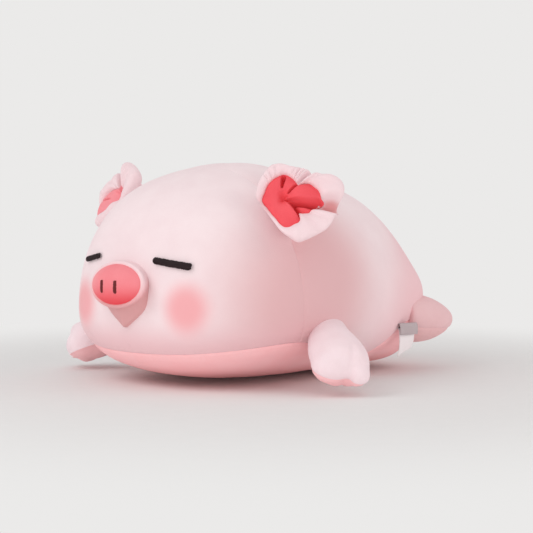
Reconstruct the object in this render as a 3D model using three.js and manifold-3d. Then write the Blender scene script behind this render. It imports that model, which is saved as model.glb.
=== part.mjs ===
// A plush pig that lies on its belly: a fat stuffed body sewn from four panels, with a domed snout,
// two gathered ears, two cloven front paws, two hind feet, a short tail and two sewn-in labels.
// Sizes are in millimetres. The pig faces -Y, its own left side is +X, and it rests on z = 0.
import * as THREE from 'three';
import { mergeVertices } from 'three/addons/utils/BufferGeometryUtils.js';
import Module from 'manifold-3d';

const wasm = await Module();
wasm.setup();

// Cloth, thread and clearances
const FABRIC = 2.4; // short-pile plush, pile and backing together
const SEAM_GAP = 0.3; // left between two pieces that are sewn together
const THREAD_HEIGHT = 1.3; // how far satin stitch stands on the cloth
const OVERRUN = 40; // how far a cutting solid reaches past what it cuts

// Body
const BODY_HALF_WIDTH = 133;
const BODY_FRONT_REACH = 186;
const BODY_REAR_REACH = 168;
const BODY_HEIGHT = 206;
const WIDEST_HEIGHT = 66; // height of the fattest section
const FLAT_DEPTH = 0.5; // what the floor presses flat
const FACE_CURVE_POWER = 3.45; // power of the curve: 2 is round, more is squarer
const RUMP_CURVE_POWER = 3.35;
const BACK_CURVE_POWER = 2.13;
const BELLY_CURVE_POWER = 2.25;
const TAPER_START = -110; // y where the back starts to fall and narrow
const TAPER_END = 285; // y where the whole taper would be reached, past the rump
const NARROWING_SHARE = 0.34; // of the width, lost over the whole taper
const FALL_SHARE = 0.41; // of the height over the fattest section, lost over the whole taper
const BODY_SIDES = 32;
const BODY_RINGS = 18;

// Seams of the body: where the face ends, and the height of the belly seam from nose to rump
const FACE_DEPTH = 98; // from the foremost point of the face back to its seam
const NOSE_SEAM_HEIGHT = 30;
const CHEEK_SEAM_HEIGHT = 42;
const WAIST_SEAM_HEIGHT = 16;
const HIP_SEAM_HEIGHT = 47;
const RUMP_SEAM_HEIGHT = 50;
const WAIST_FROM_RUMP = 140;
const HIP_FROM_RUMP = 86;
const SEAM_STEPS = 16;
const FACE_SEAM_Y = FACE_DEPTH - BODY_FRONT_REACH;

// Eyes, two closed lids in satin stitch
const EYE_LENGTH = 39;
const EYE_THICKNESS = 5.4;
const EYE_X = 55.5;
const EYE_RISE = 22; // over the middle of the snout
const EYE_DROOP = 8; // degrees that the outer end hangs
const EYE_END_STEPS = 5;

// Snout
const SNOUT_RISE = 26.5; // its middle over the fattest section
const SNOUT_SET_BACK = 2; // its root behind the foremost point of the face
const SNOUT_TILT = 8; // degrees that it looks up
const SNOUT_LENGTH = 13;
const SNOUT_DOME = 12;
const RIM_HALF_WIDTH = 36.4;
const RIM_HALF_HEIGHT = 21.3;
const RIM_ROLL = 3.5; // cloth that rolls over the rim and frames the disc
const ROOT_HALF_WIDTH = 29;
const ROOT_HALF_HEIGHT = 23;
const CHIN_DROP = 14; // how far the point under the snout hangs below the rest of its root
const CHIN_SPREAD = 59; // from the middle to where the lines up from that point would be level with it
const CHIN_CORNER_POWER = 8; // how sharply those lines meet the sides
const SNOUT_SINK = 34; // how far the form is carried into the head, for the head to cut
const SNOUT_SIDES = 20;
const SNOUT_HEIGHT = WIDEST_HEIGHT + SNOUT_RISE;
const SNOUT_Y = SNOUT_SET_BACK - BODY_FRONT_REACH;
const DOME_RING_SHARES = [0.86, 0.62, 0.32]; // of the disc
const NOSTRIL_LENGTH = 11;
const NOSTRIL_THICKNESS = 3;
const NOSTRIL_SPACING = 18;
const NOSTRIL_DROP = 1; // below the middle of the disc

// Ears, flat pouches that a stitch gathers into petals; the right one stands up closer to the head
const STITCH_STAND_OUTS = { left: 34.8, right: 25.5 }; // the gathering stitch, out from the cloth of the head
const STITCH_AHEAD = 17; // ahead of the face seam
const STITCH_UNDER_TOPS = { left: 34, right: 30 }; // under the top of the back
const EAR_FACINGS = { left: 38, right: 23 }; // degrees that it looks out from straight ahead
const EAR_LEAN = 28; // degrees that it lies back along the head
const EAR_HALF_LENGTH = 39;
const EAR_HALF_HEIGHT = 37.5;
const STITCH_INSET = 16; // from the middle of the ear in towards the head
const STITCH_RISE = 3.5; // from the middle of the ear up
const EAR_CUP = 14; // depth of the gathered middle under the rim
const EAR_ROLL = 6; // half the thickness of the puffy rim
const EAR_ROOT_DEPTH = 17; // how far the gathered cloth behind the stitch runs back to the seam
const EAR_ROOT_SHIFT = 7; // how far it leans down towards the face
const PLEAT_DEPTH = 7;
const PLEAT_SPREAD = 13; // degrees
const PLEAT_TURNS = [-52, -10, 34, 90, 126]; // degrees round the stitch, up from straight out
const PLEAT_SHARES = [0.7, 1, 0.8, 0.7, 0.35]; // of the full depth
const NOTCH_SHARE = 0.2; // of the rim's reach, lost in a full pleat
const LINING_THICKNESS = 2.6;
const LINING_SHARE = 0.64; // of the rim's reach
const TUCK_TURN = 222; // degrees round the stitch to where the rim is sewn flat into the seam
const TUCK_SPREAD = 48; // degrees
const TUCK_SHARE = 0.72; // of the rim, lost there
const PETAL_PUFF = 5; // how far the lining swells between two pleats
const EAR_SIDES = 36;
const DISH_RING_SHARES = [0.35, 0.7, 1]; // from the stitch to where the rim begins
const ROLL_RING_SHARES = [[0.2, 0.85], [0.5, 1], [0.82, 0.75], [1, 0]]; // across the rim, and of EAR_ROLL
const UNDER_RIM_SHARES = [0.8, -0.8]; // the same, on its back
const ROOT_RING_SHARES = [[0.6, 0.35], [0.34, 1]]; // of the ear's reach, and of the root's depth
const LINING_RING_SHARES = [0.25, 0.5, 0.78, 0.94]; // from the stitch to the lining's edge
const LINING_BACK_SHARES = [0.98, 0.7, 0.35];

// Front paws; the right one reaches further forward, as soft limbs do
const PAW_ROOT_DEPTH = 17.2; // middle of the root, in from the cloth of the body
const PAW_SET_BACK = 44; // behind the face seam
const PAW_DROP = 13.5; // under the fattest section
const PAW_HEADINGS = { left: 37, right: 50 }; // degrees forward of straight out
const PAW_SLOPES = { left: 19, right: 19 }; // degrees down
const PAW_ROLL = 12; // degrees that its rear side hangs, so that the sole shows from ahead
const PAW_LENGTH = 92;
const PAW_HALF_WIDTH = 26.5;
const PAW_HALF_THICKNESS = 22.5;
const PAW_PROFILE_SHARES = [[0, 0.66], [0.25, 0.68], [0.5, 0.88], [0.7, 1], [0.85, 0.86], [0.95, 0.58]];
const PAW_SOLE_SHARE = 0.4; // of the half thickness, from the middle down to the sole's seam
const TOE_HALF_LENGTH = 19;
const BIG_TOE_HALF_WIDTH = 18;
const BIG_TOE_SPREAD = 3; // how far it stands out past the side of the limb
const SMALL_TOE_HALF_WIDTH = 12.5;
const TOE_HALF_THICKNESS = 16;
const TOE_OVERLAP_SHARE = 0.6; // of a toe's half length, back from the tip of the limb to its middle
const TOE_DROP_SHARE = 0.8; // of what the limb is thicker than the toes, from its middle down to theirs
const LIMB_SIDES = 14;
const TOE_SIDES = 10;
const TOE_RINGS = 6;
const PAW_HINGE_AHEAD = 13; // where the seam of its root bends, ahead of the root's middle
const PAW_HINGE_RISE = 9; // over the root's middle
const PAW_LIFT = 25; // degrees

// Hind feet
const FOOT_ROOT_DEPTH = 20.1; // middle of the root, in from the cloth of the body
const FOOT_FROM_RUMP = 68;
const FOOT_DROP = 13; // under the fattest section
const FOOT_HEADING = 79; // degrees behind straight out
const FOOT_SLOPE = 4; // degrees down
const FOOT_LENGTH = 73;
const FOOT_HALF_WIDTH = 29.5;
const FOOT_HALF_THICKNESS = 25.3;
const FOOT_PROFILE_SHARES = [[0, 1], [0.35, 1], [0.55, 0.91], [0.72, 0.71], [0.86, 0.5], [0.96, 0.27]];
const FOOT_SOLE_SHARE = 0.35; // of the half thickness, from the middle down to the sole's seam
const FOOT_HINGE_BEHIND = 28; // where the seam of its root bends, behind the root's middle
const FOOT_HINGE_RISE = 21; // over the root's middle
const FOOT_LIFT = 20; // degrees

// Tail, a short stuffed curl
const TAIL_RISE = 18; // over the fattest section
const TAIL_RADIUS = 7;
const TAIL_COIL = 11; // radius of its curl
const TAIL_PITCH = 15; // how far out the curl carries it
const TAIL_TURNS = 0.8;
const TAIL_THINNING_SHARE = 0.25; // of its radius, lost towards the tip
const TAIL_SINK = 14;
const TAIL_STEPS = 12;
const TAIL_SIDES = 8;
const TAIL_WAG = 15; // degrees each way

// Labels sewn into the belly seam
const LABEL_AHEAD = 20; // of the middle of the hind foot's root
const LABEL_TURN = 25; // degrees that its rear end stands off the cloth
const LABEL_WIDTH = 21;
const LABEL_LENGTH = 28;
const LABEL_THICKNESS = 0.8;
const LABEL_STEPS = 10;
const LABEL_STAND_OFF = 4; // how far its fold stands out from the cloth
const TAB_LENGTH = 11;

const SIDES = { left: 1, right: -1 };

const COLOURS = {
  face: 0xf1dddf,
  back: 0xe6c6c8,
  belly: 0xf2adaf,
  limb: 0xefe3e6,
  foot: 0xe6bec1,
  sole: 0xe69c9b,
  ear: 0xefd9dc,
  lining: 0xf65c63,
  disc: 0xf17f85,
  eyeThread: 0x372628,
  nostrilThread: 0x7a2f2f,
  filling: 0xf4f1ec,
  label: 0xf2ecec,
  tab: 0xc1afb1,
};

// Solids
function toManifold(geometry) {
  const bare = geometry.clone();
  bare.deleteAttribute('normal');
  bare.deleteAttribute('uv');
  const merged = mergeVertices(bare);
  return new wasm.Manifold(new wasm.Mesh({
    numProp: 3,
    vertProperties: new Float32Array(merged.attributes.position.array),
    triVerts: new Uint32Array(merged.index.array),
  }));
}

function toGeometry(solid) {
  const mesh = solid.getMesh();
  const geometry = new THREE.BufferGeometry();
  geometry.setAttribute('position', new THREE.BufferAttribute(new Float32Array(mesh.vertProperties), 3));
  geometry.setIndex(new THREE.BufferAttribute(new Uint32Array(mesh.triVerts), 1));
  geometry.computeVertexNormals();
  return geometry;
}

// A closed skin over rings of points, with one point at each end; it always faces out. From the ring
// `turnedFrom` on it runs back under itself, and its facets are split to match those that they lie under.
function ringSolid(start, rings, end, turnedFrom = rings.length) {
  const points = [start, ...rings.flat(), end];
  const sides = rings[0].length;
  const at = (ring, side) => 1 + ring * sides + (side % sides);
  const faces = [];
  for (let side = 0; side < sides; side += 1) {
    faces.push([0, at(0, side + 1), at(0, side)]);
    for (let ring = 0; ring < rings.length - 1; ring += 1) {
      const [a, b] = [at(ring, side), at(ring, side + 1)];
      const [c, d] = [at(ring + 1, side), at(ring + 1, side + 1)];
      faces.push(...(ring < turnedFrom ? [[a, b, c], [c, b, d]] : [[a, b, d], [a, d, c]]));
    }
    faces.push([at(rings.length - 1, side), at(rings.length - 1, side + 1), points.length - 1]);
  }
  const volume = faces.reduce((sum, [a, b, c]) =>
    sum + points[a].dot(new THREE.Vector3().crossVectors(points[b], points[c])), 0);
  const facing = faces.map(([a, b, c]) => (volume > 0 ? [a, b, c] : [a, c, b]));
  return new wasm.Manifold(new wasm.Mesh({
    numProp: 3,
    vertProperties: new Float32Array(points.flatMap((point) => point.toArray())),
    triVerts: new Uint32Array(facing.flat()),
  }));
}

function boxBetween(low, high) {
  const size = new THREE.Vector3().subVectors(high, low);
  const middle = new THREE.Vector3().addVectors(low, high).multiplyScalar(0.5);
  const geometry = new THREE.BoxGeometry(size.x, size.y, size.z);
  geometry.translate(middle.x, middle.y, middle.z);
  return toManifold(geometry);
}

// Body form
// One smooth fat form serves the cloth, the stuffing and every cut: `out` swells or shrinks it.
function bodyPoint(pitch, turn, out) {
  const sideways = Math.sin(pitch) * Math.cos(turn);
  const upward = Math.sin(pitch) * Math.sin(turn);
  const backward = -Math.cos(pitch);
  const top = upward > 0;
  const rear = backward > 0;
  const halfHeight = (top ? BODY_HEIGHT - WIDEST_HEIGHT : WIDEST_HEIGHT + FLAT_DEPTH) + out;
  const reach = (rear ? BODY_REAR_REACH : BODY_FRONT_REACH) + out;
  const round = top ? BACK_CURVE_POWER : BELLY_CURVE_POWER;
  const blunt = rear ? RUMP_CURVE_POWER : FACE_CURVE_POWER;
  const section = Math.abs(sideways / (BODY_HALF_WIDTH + out)) ** round
    + Math.abs(upward / halfHeight) ** round;
  const distance = (section ** (blunt / round) + Math.abs(backward / reach) ** blunt) ** (-1 / blunt);
  const y = distance * backward;
  const fall = THREE.MathUtils.smootherstep(y, TAPER_START, TAPER_END);
  return new THREE.Vector3(
    distance * sideways * (1 - NARROWING_SHARE * fall),
    y,
    WIDEST_HEIGHT + distance * upward * (top ? 1 - FALL_SHARE * fall : 1),
  );
}

function bodyForm(out, placed = new THREE.Matrix4()) {
  const place = (pitch, turn) => bodyPoint(pitch, turn, out).applyMatrix4(placed);
  const rings = [];
  for (let ring = 1; ring < BODY_RINGS; ring += 1) {
    const pitch = (Math.PI * ring) / BODY_RINGS;
    rings.push(Array.from({ length: BODY_SIDES }, (_, side) =>
      place(pitch, (2 * Math.PI * side) / BODY_SIDES)));
  }
  return ringSolid(place(0, 0), rings, place(Math.PI, 0));
}

// How far the surface of the body stands from the middle plane at a place
function bodyHalfWidthAt(y, z) {
  const top = z > WIDEST_HEIGHT;
  const reach = y > 0 ? BODY_REAR_REACH : BODY_FRONT_REACH;
  const blunt = y > 0 ? RUMP_CURVE_POWER : FACE_CURVE_POWER;
  const round = top ? BACK_CURVE_POWER : BELLY_CURVE_POWER;
  const fall = THREE.MathUtils.smootherstep(y, TAPER_START, TAPER_END);
  const halfHeight = top
    ? (BODY_HEIGHT - WIDEST_HEIGHT) * (1 - FALL_SHARE * fall)
    : WIDEST_HEIGHT + FLAT_DEPTH;
  const section = (1 - Math.abs(y / reach) ** blunt) ** (round / blunt);
  const left = section - Math.abs((z - WIDEST_HEIGHT) / halfHeight) ** round;
  return BODY_HALF_WIDTH * (1 - NARROWING_SHARE * fall) * Math.max(left, 0) ** (1 / round);
}

// The place on the body where a limb's seam bends, and the level line along the body there
function hingeAt(side, y, z) {
  const ahead = bodyHalfWidthAt(y - FABRIC, z);
  const behind = bodyHalfWidthAt(y + FABRIC, z);
  return {
    pivot: new THREE.Vector3(side * bodyHalfWidthAt(y, z), y, z),
    axis: new THREE.Vector3(ahead - behind, -side * 2 * FABRIC, 0).normalize(),
  };
}

// The room that the body takes up as seen from a piece that has turned on its seam
function turnedClearance({ pivot, axis }, degrees) {
  const back = new THREE.Matrix4().makeRotationAxis(axis, THREE.MathUtils.degToRad(-degrees));
  const placed = new THREE.Matrix4().makeTranslation(pivot.x, pivot.y, pivot.z).multiply(back)
    .multiply(new THREE.Matrix4().makeTranslation(-pivot.x, -pivot.y, -pivot.z));
  return bodyForm(SEAM_GAP, placed);
}

function clearOfBody(solid, hinge, turns) {
  const atRest = solid.subtract(bodyClearance);
  return turns.reduce((left, degrees) => left.subtract(turnedClearance(hinge, degrees)), atRest);
}

const bodyLow = new THREE.Vector3(-BODY_HALF_WIDTH - OVERRUN, -BODY_FRONT_REACH - OVERRUN, -OVERRUN);
const bodyHigh = new THREE.Vector3(BODY_HALF_WIDTH, BODY_REAR_REACH, BODY_HEIGHT).addScalar(OVERRUN);
const floor = boxBetween(bodyLow, new THREE.Vector3(bodyHigh.x, bodyHigh.y, 0));
const bodyClearance = bodyForm(SEAM_GAP);
const bodySkin = bodyForm(0).subtract(bodyForm(-FABRIC)).subtract(floor);
const bodyStuffing = bodyForm(-FABRIC - SEAM_GAP);

// Body panels
const seamCurve = new THREE.SplineCurve([
  new THREE.Vector2(-BODY_FRONT_REACH, NOSE_SEAM_HEIGHT),
  new THREE.Vector2(FACE_SEAM_Y, CHEEK_SEAM_HEIGHT),
  new THREE.Vector2(BODY_REAR_REACH - WAIST_FROM_RUMP, WAIST_SEAM_HEIGHT),
  new THREE.Vector2(BODY_REAR_REACH - HIP_FROM_RUMP, HIP_SEAM_HEIGHT),
  new THREE.Vector2(BODY_REAR_REACH, RUMP_SEAM_HEIGHT),
]);

const seamLine = seamCurve.getPoints(SEAM_STEPS);

function seamPoint(y) {
  const after = seamLine.findIndex((point) => point.x > y);
  const [from, to] = [seamLine[after - 1], seamLine[after]];
  const z = THREE.MathUtils.mapLinear(y, from.x, to.x, from.y, to.y);
  return new THREE.Vector3(bodyHalfWidthAt(y, z), y, z);
}

function underSeam(raise) {
  const line = seamLine.map((point) => new THREE.Vector2(point.x, point.y + raise));
  const first = line[0];
  const last = line[line.length - 1];
  const outline = new THREE.Shape([
    new THREE.Vector2(bodyLow.y, bodyLow.z),
    new THREE.Vector2(bodyHigh.y, bodyLow.z),
    new THREE.Vector2(bodyHigh.y, last.y),
    ...line.reverse(),
    new THREE.Vector2(bodyLow.y, first.y),
  ]);
  const width = bodyHigh.x - bodyLow.x;
  const geometry = new THREE.ExtrudeGeometry(outline, { depth: width, bevelEnabled: false });
  const across = new THREE.Matrix4().makeBasis(
    new THREE.Vector3(0, 1, 0),
    new THREE.Vector3(0, 0, 1),
    new THREE.Vector3(1, 0, 0),
  );
  geometry.applyMatrix4(across);
  geometry.translate(bodyLow.x, 0, 0);
  return toManifold(geometry);
}

const halfGap = SEAM_GAP / 2;
const bellyPanel = bodySkin.intersect(underSeam(-halfGap));
const upperSkin = bodySkin.subtract(underSeam(halfGap));
const aheadOfSeam = boxBetween(bodyLow, new THREE.Vector3(bodyHigh.x, FACE_SEAM_Y - halfGap, bodyHigh.z));
const behindSeam = (lowX, highX) => boxBetween(
  new THREE.Vector3(lowX, FACE_SEAM_Y + halfGap, bodyLow.z),
  new THREE.Vector3(highX, bodyHigh.y, bodyHigh.z),
);
const facePanel = upperSkin.intersect(aheadOfSeam);
const backPanels = {
  left: upperSkin.intersect(behindSeam(halfGap, bodyHigh.x)),
  right: upperSkin.intersect(behindSeam(bodyLow.x, -halfGap)),
};

// Eyes
const stitchedLayer = bodyForm(SEAM_GAP + THREAD_HEIGHT).subtract(bodyForm(SEAM_GAP));

function roundedBar(length, thickness) {
  const radius = thickness / 2;
  const reach = length / 2 - radius;
  const points = [];
  for (const end of [1, -1]) {
    for (let step = 0; step <= EYE_END_STEPS; step += 1) {
      const turn = Math.PI * (step / EYE_END_STEPS - 0.5);
      const [across, up] = [reach + radius * Math.cos(turn), radius * Math.sin(turn)];
      points.push(new THREE.Vector2(end * across, end * up));
    }
  }
  return new THREE.Shape(points);
}

function eye(side) {
  const geometry = new THREE.ExtrudeGeometry(roundedBar(EYE_LENGTH, EYE_THICKNESS), {
    depth: BODY_FRONT_REACH + OVERRUN,
    bevelEnabled: false,
  });
  geometry.rotateZ(THREE.MathUtils.degToRad(-side * EYE_DROOP));
  geometry.rotateX(Math.PI / 2);
  geometry.translate(side * EYE_X, 0, SNOUT_HEIGHT + EYE_RISE);
  return stitchedLayer.intersect(toManifold(geometry));
}

// Snout
// `along` runs from the face outwards, and `inset` shrinks the form for the stuffing and the inner wall.
function snoutRing(along, rimward, size, inset) {
  const mix = (root, rim) => (root + (rim - root) * rimward) * size - inset;
  const halfWidth = mix(ROOT_HALF_WIDTH, RIM_HALF_WIDTH);
  const halfHeight = mix(ROOT_HALF_HEIGHT, RIM_HALF_HEIGHT);
  const chinSpread = (CHIN_SPREAD * size - inset) / (1 - rimward);
  const chinHeight = ((ROOT_HALF_HEIGHT + CHIN_DROP) * size - inset) / (1 - rimward);
  return Array.from({ length: SNOUT_SIDES }, (_, side) => {
    const turn = (2 * Math.PI * side) / SNOUT_SIDES;
    const [across, up] = [Math.cos(turn), Math.sin(turn)];
    const low = up < 0 ? 1 - rimward : 0;
    const round = Math.hypot(across / halfWidth, up / (halfHeight * (1 + low)));
    const drawn = low * (Math.abs(across) / chinSpread - up / chinHeight);
    const distance = (round ** CHIN_CORNER_POWER + drawn ** CHIN_CORNER_POWER) ** (-1 / CHIN_CORNER_POWER);
    return new THREE.Vector3(distance * across, -along, distance * up);
  });
}

function placeSnout(point) {
  return point.clone()
    .applyAxisAngle(new THREE.Vector3(1, 0, 0), THREE.MathUtils.degToRad(-SNOUT_TILT))
    .add(new THREE.Vector3(0, SNOUT_Y, SNOUT_HEIGHT));
}

function snoutForm(inset) {
  const discSize = 1 - RIM_ROLL / RIM_HALF_WIDTH;
  const rings = [
    snoutRing(-SNOUT_SINK, 0, 1, inset),
    snoutRing(0, 0, 1, inset),
    snoutRing((SNOUT_LENGTH - RIM_ROLL) * 0.5, 0.55, 1, inset),
    snoutRing(SNOUT_LENGTH - RIM_ROLL, 1, 1, inset),
    snoutRing(SNOUT_LENGTH - inset, 1, discSize, inset),
  ];
  for (const size of DOME_RING_SHARES) {
    const along = SNOUT_LENGTH - inset + SNOUT_DOME * Math.sqrt(1 - size * size);
    rings.push(snoutRing(along, 1, discSize * size, inset * size));
  }
  const back = new THREE.Vector3(0, SNOUT_SINK, 0);
  const front = new THREE.Vector3(0, -SNOUT_LENGTH + inset - SNOUT_DOME, 0);
  return ringSolid(placeSnout(back), rings.map((ring) => ring.map(placeSnout)), placeSnout(front));
}

function snoutBox(from, to) {
  const reach = ROOT_HALF_WIDTH + ROOT_HALF_HEIGHT + OVERRUN;
  const geometry = new THREE.BoxGeometry(reach, to - from, reach);
  geometry.translate(0, -(from + to) / 2, 0);
  geometry.rotateX(THREE.MathUtils.degToRad(-SNOUT_TILT));
  geometry.translate(0, SNOUT_Y, SNOUT_HEIGHT);
  return toManifold(geometry);
}

const snoutSkin = snoutForm(0).subtract(snoutForm(FABRIC)).subtract(bodyClearance);
const discSeam = SNOUT_LENGTH - FABRIC / 2;
const snoutEnd = SNOUT_LENGTH + SNOUT_DOME + OVERRUN;
const snoutDisc = snoutSkin.intersect(snoutBox(discSeam + halfGap, snoutEnd));
const snoutSleeve = snoutSkin.subtract(snoutBox(discSeam - halfGap, snoutEnd));
const snoutStuffing = snoutForm(FABRIC + SEAM_GAP).subtract(bodyClearance);

// Nostrils, two upright bars of satin stitch on the disc
const nostrilLayer = snoutForm(-SEAM_GAP - THREAD_HEIGHT).subtract(snoutForm(-SEAM_GAP));

function nostril(side) {
  const geometry = new THREE.ExtrudeGeometry(roundedBar(NOSTRIL_LENGTH, NOSTRIL_THICKNESS), {
    depth: snoutEnd,
    bevelEnabled: false,
  });
  geometry.rotateZ(Math.PI / 2);
  geometry.rotateX(Math.PI / 2 - THREE.MathUtils.degToRad(SNOUT_TILT));
  geometry.translate(side * NOSTRIL_SPACING / 2, SNOUT_Y, SNOUT_HEIGHT - NOSTRIL_DROP);
  return nostrilLayer.intersect(toManifold(geometry)).subtract(bodyClearance);
}

// Ears
// The stitch is the middle of each ear: `turn` runs round it and `reach` runs from it to the rim.
function turnBetween(turn, degrees) {
  const away = THREE.MathUtils.radToDeg(turn) - degrees;
  return THREE.MathUtils.euclideanModulo(away + 180, 360) - 180;
}

function pleatAt(turn) {
  const depths = PLEAT_TURNS.map((degrees, index) =>
    PLEAT_SHARES[index] * Math.exp(-((turnBetween(turn, degrees) / PLEAT_SPREAD) ** 2)));
  return Math.max(...depths);
}

function rimReach(turn) {
  const across = Math.cos(turn) / EAR_HALF_LENGTH;
  const up = Math.sin(turn) / EAR_HALF_HEIGHT;
  const a = across ** 2 + up ** 2;
  const b = (across * STITCH_INSET) / EAR_HALF_LENGTH - (up * STITCH_RISE) / EAR_HALF_HEIGHT;
  const c = (STITCH_INSET / EAR_HALF_LENGTH) ** 2 + (STITCH_RISE / EAR_HALF_HEIGHT) ** 2 - 1;
  return ((b + Math.sqrt(b ** 2 - a * c)) / a) * (1 - NOTCH_SHARE * pleatAt(turn));
}

// How much of the puffy rim is left at this turn
function rimLeft(turn) {
  return 1 - TUCK_SHARE * Math.exp(-((turnBetween(turn, TUCK_TURN) / TUCK_SPREAD) ** 2));
}

// `inward` runs over the lining and `outward` over the rim beyond it, each from 0 to 1.
function earRing(inward, outward, lift) {
  return Array.from({ length: EAR_SIDES }, (_, side) => {
    const turn = (2 * Math.PI * side) / EAR_SIDES;
    const rim = (1 - LINING_SHARE) * rimLeft(turn);
    const reach = rimReach(turn) * ((1 - rim) * inward + rim * outward);
    const height = lift(inward, turn) - PLEAT_DEPTH * pleatAt(turn) * Math.min(1, inward * 1.5);
    return new THREE.Vector3(reach * Math.cos(turn), reach * Math.sin(turn), height);
  });
}

const dish = (inward) => -EAR_CUP * (1 - inward ** 2);
const stitchY = FACE_SEAM_Y - STITCH_AHEAD;
const earFrames = Object.fromEntries(Object.entries(SIDES).map(([name, side]) => {
  const stitchHeight = BODY_HEIGHT - STITCH_UNDER_TOPS[name];
  const stitchX = bodyHalfWidthAt(stitchY, stitchHeight) + STITCH_STAND_OUTS[name];
  const facing = THREE.MathUtils.degToRad(EAR_FACINGS[name]);
  const lean = THREE.MathUtils.degToRad(EAR_LEAN);
  const across = new THREE.Vector3(Math.cos(facing), Math.sin(facing), 0);
  const back = new THREE.Vector3(-Math.sin(facing), Math.cos(facing), 0);
  const up = back.multiplyScalar(Math.sin(lean)).setZ(Math.cos(lean));
  const frame = new THREE.Matrix4().makeBasis(across, up, new THREE.Vector3().crossVectors(across, up));
  frame.premultiply(new THREE.Matrix4().makeScale(side, 1, 1));
  frame.setPosition(side * stitchX, stitchY, stitchHeight);
  return [name, frame];
}));

function earSkin(frame, frontHeight, rings, backHeight, turnedFrom) {
  const place = (point) => point.applyMatrix4(frame);
  return ringSolid(
    place(new THREE.Vector3(0, 0, frontHeight)),
    rings.map((ring) => ring.map(place)),
    place(new THREE.Vector3(0, 0, backHeight)),
    turnedFrom,
  );
}

function earOuter(frame) {
  const behind = EAR_ROLL + 2 * FABRIC;
  const roll = (share) => (inward, turn) => EAR_ROLL * share * rimLeft(turn);
  const [underRim, underHeight] = UNDER_RIM_SHARES;
  const rings = [
    ...DISH_RING_SHARES.map((share) => earRing(share, 0, dish)),
    ...ROLL_RING_SHARES.map(([across, height]) => earRing(1, across, roll(height))),
    earRing(1, underRim, (inward, turn) => roll(underHeight)(inward, turn) - FABRIC),
    earRing(1, 0, () => -behind),
    ...ROOT_RING_SHARES.map(([reach, depth]) =>
      earRing(reach, 0, (inward) => dish(inward) - behind - EAR_ROOT_DEPTH * depth)),
  ];
  const rootTurn = THREE.MathUtils.degToRad(TUCK_TURN);
  for (const point of rings[rings.length - 1]) {
    point.x += EAR_ROOT_SHIFT * Math.cos(rootTurn);
    point.y += EAR_ROOT_SHIFT * Math.sin(rootTurn);
  }
  const turnedFrom = DISH_RING_SHARES.length + ROLL_RING_SHARES.length - 1;
  return earSkin(frame, dish(0), rings, dish(0) - behind - EAR_ROOT_DEPTH, turnedFrom);
}

function earLining(frame) {
  const puff = (inward, turn) => PETAL_PUFF * Math.sin(Math.PI * inward) * (1 - pleatAt(turn));
  const under = (inward) => dish(inward) + SEAM_GAP;
  const over = (inward, turn) => under(inward) + LINING_THICKNESS + puff(inward, turn);
  const rings = [
    ...LINING_RING_SHARES.map((share) => earRing(share, 0, over)),
    ...LINING_BACK_SHARES.map((share) => earRing(share, 0, under)),
  ];
  return earSkin(frame, over(0, 0), rings, under(0), LINING_RING_SHARES.length);
}

// Limbs
// A limb grows along its own x axis, with y across towards the rump and z up, before it rolls.
function limbFrame(side, root, heading, slope, roll = 0) {
  const turn = THREE.MathUtils.degToRad(heading);
  const down = THREE.MathUtils.degToRad(slope);
  const level = new THREE.Vector3(Math.cos(turn), Math.sin(turn), 0);
  const along = level.multiplyScalar(Math.cos(down)).setZ(-Math.sin(down));
  const across = new THREE.Vector3(-Math.sin(turn), Math.cos(turn), 0);
  const up = new THREE.Vector3().crossVectors(along, across);
  const frame = new THREE.Matrix4().makeBasis(along, across, up);
  frame.multiply(new THREE.Matrix4().makeRotationX(-THREE.MathUtils.degToRad(roll)));
  frame.setPosition(root);
  return new THREE.Matrix4().makeScale(side, 1, 1).multiply(frame);
}

function limbForm(frame, length, halfWidth, halfThickness, profile, inset) {
  const place = (point) => point.applyMatrix4(frame);
  const rings = profile.map(([share, size], index) => Array.from({ length: LIMB_SIDES }, (_, side) => {
    const turn = (2 * Math.PI * side) / LIMB_SIDES;
    return place(new THREE.Vector3(
      share * (length - inset) + (index === 0 ? inset : 0),
      Math.cos(turn) * (halfWidth * size - inset),
      Math.sin(turn) * (halfThickness * size - inset),
    ));
  }));
  const start = place(new THREE.Vector3(inset, 0, 0));
  const tip = place(new THREE.Vector3(length - inset, 0, 0));
  return ringSolid(start, rings, tip);
}

// A frame for the other side of the body mirrors a form, so the facets are turned to face out again.
function placedSolid(geometry, frame) {
  geometry.applyMatrix4(frame);
  if (frame.determinant() < 0) {
    const index = geometry.index.array;
    for (let corner = 0; corner < index.length; corner += 3) {
      [index[corner], index[corner + 1]] = [index[corner + 1], index[corner]];
    }
  }
  return toManifold(geometry);
}

function toe(frame, middle, halfWidth, inset) {
  const geometry = new THREE.SphereGeometry(1, TOE_SIDES, TOE_RINGS);
  geometry.scale(TOE_HALF_LENGTH - inset, halfWidth - inset, TOE_HALF_THICKNESS - inset);
  geometry.translate(middle.x, middle.y, middle.z);
  return placedSolid(geometry, frame);
}

function pawForm(frame, inset) {
  const reach = PAW_LENGTH - TOE_HALF_LENGTH * TOE_OVERLAP_SHARE;
  const drop = (PAW_HALF_THICKNESS - TOE_HALF_THICKNESS) * TOE_DROP_SHARE;
  const bigToe = new THREE.Vector3(reach, BIG_TOE_HALF_WIDTH - PAW_HALF_WIDTH - BIG_TOE_SPREAD, -drop / 2);
  const smallToe = new THREE.Vector3(reach, PAW_HALF_WIDTH - SMALL_TOE_HALF_WIDTH, -drop);
  return limbForm(frame, PAW_LENGTH, PAW_HALF_WIDTH, PAW_HALF_THICKNESS, PAW_PROFILE_SHARES, inset)
    .add(toe(frame, bigToe, BIG_TOE_HALF_WIDTH, inset))
    .add(toe(frame, smallToe, SMALL_TOE_HALF_WIDTH, inset));
}

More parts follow.
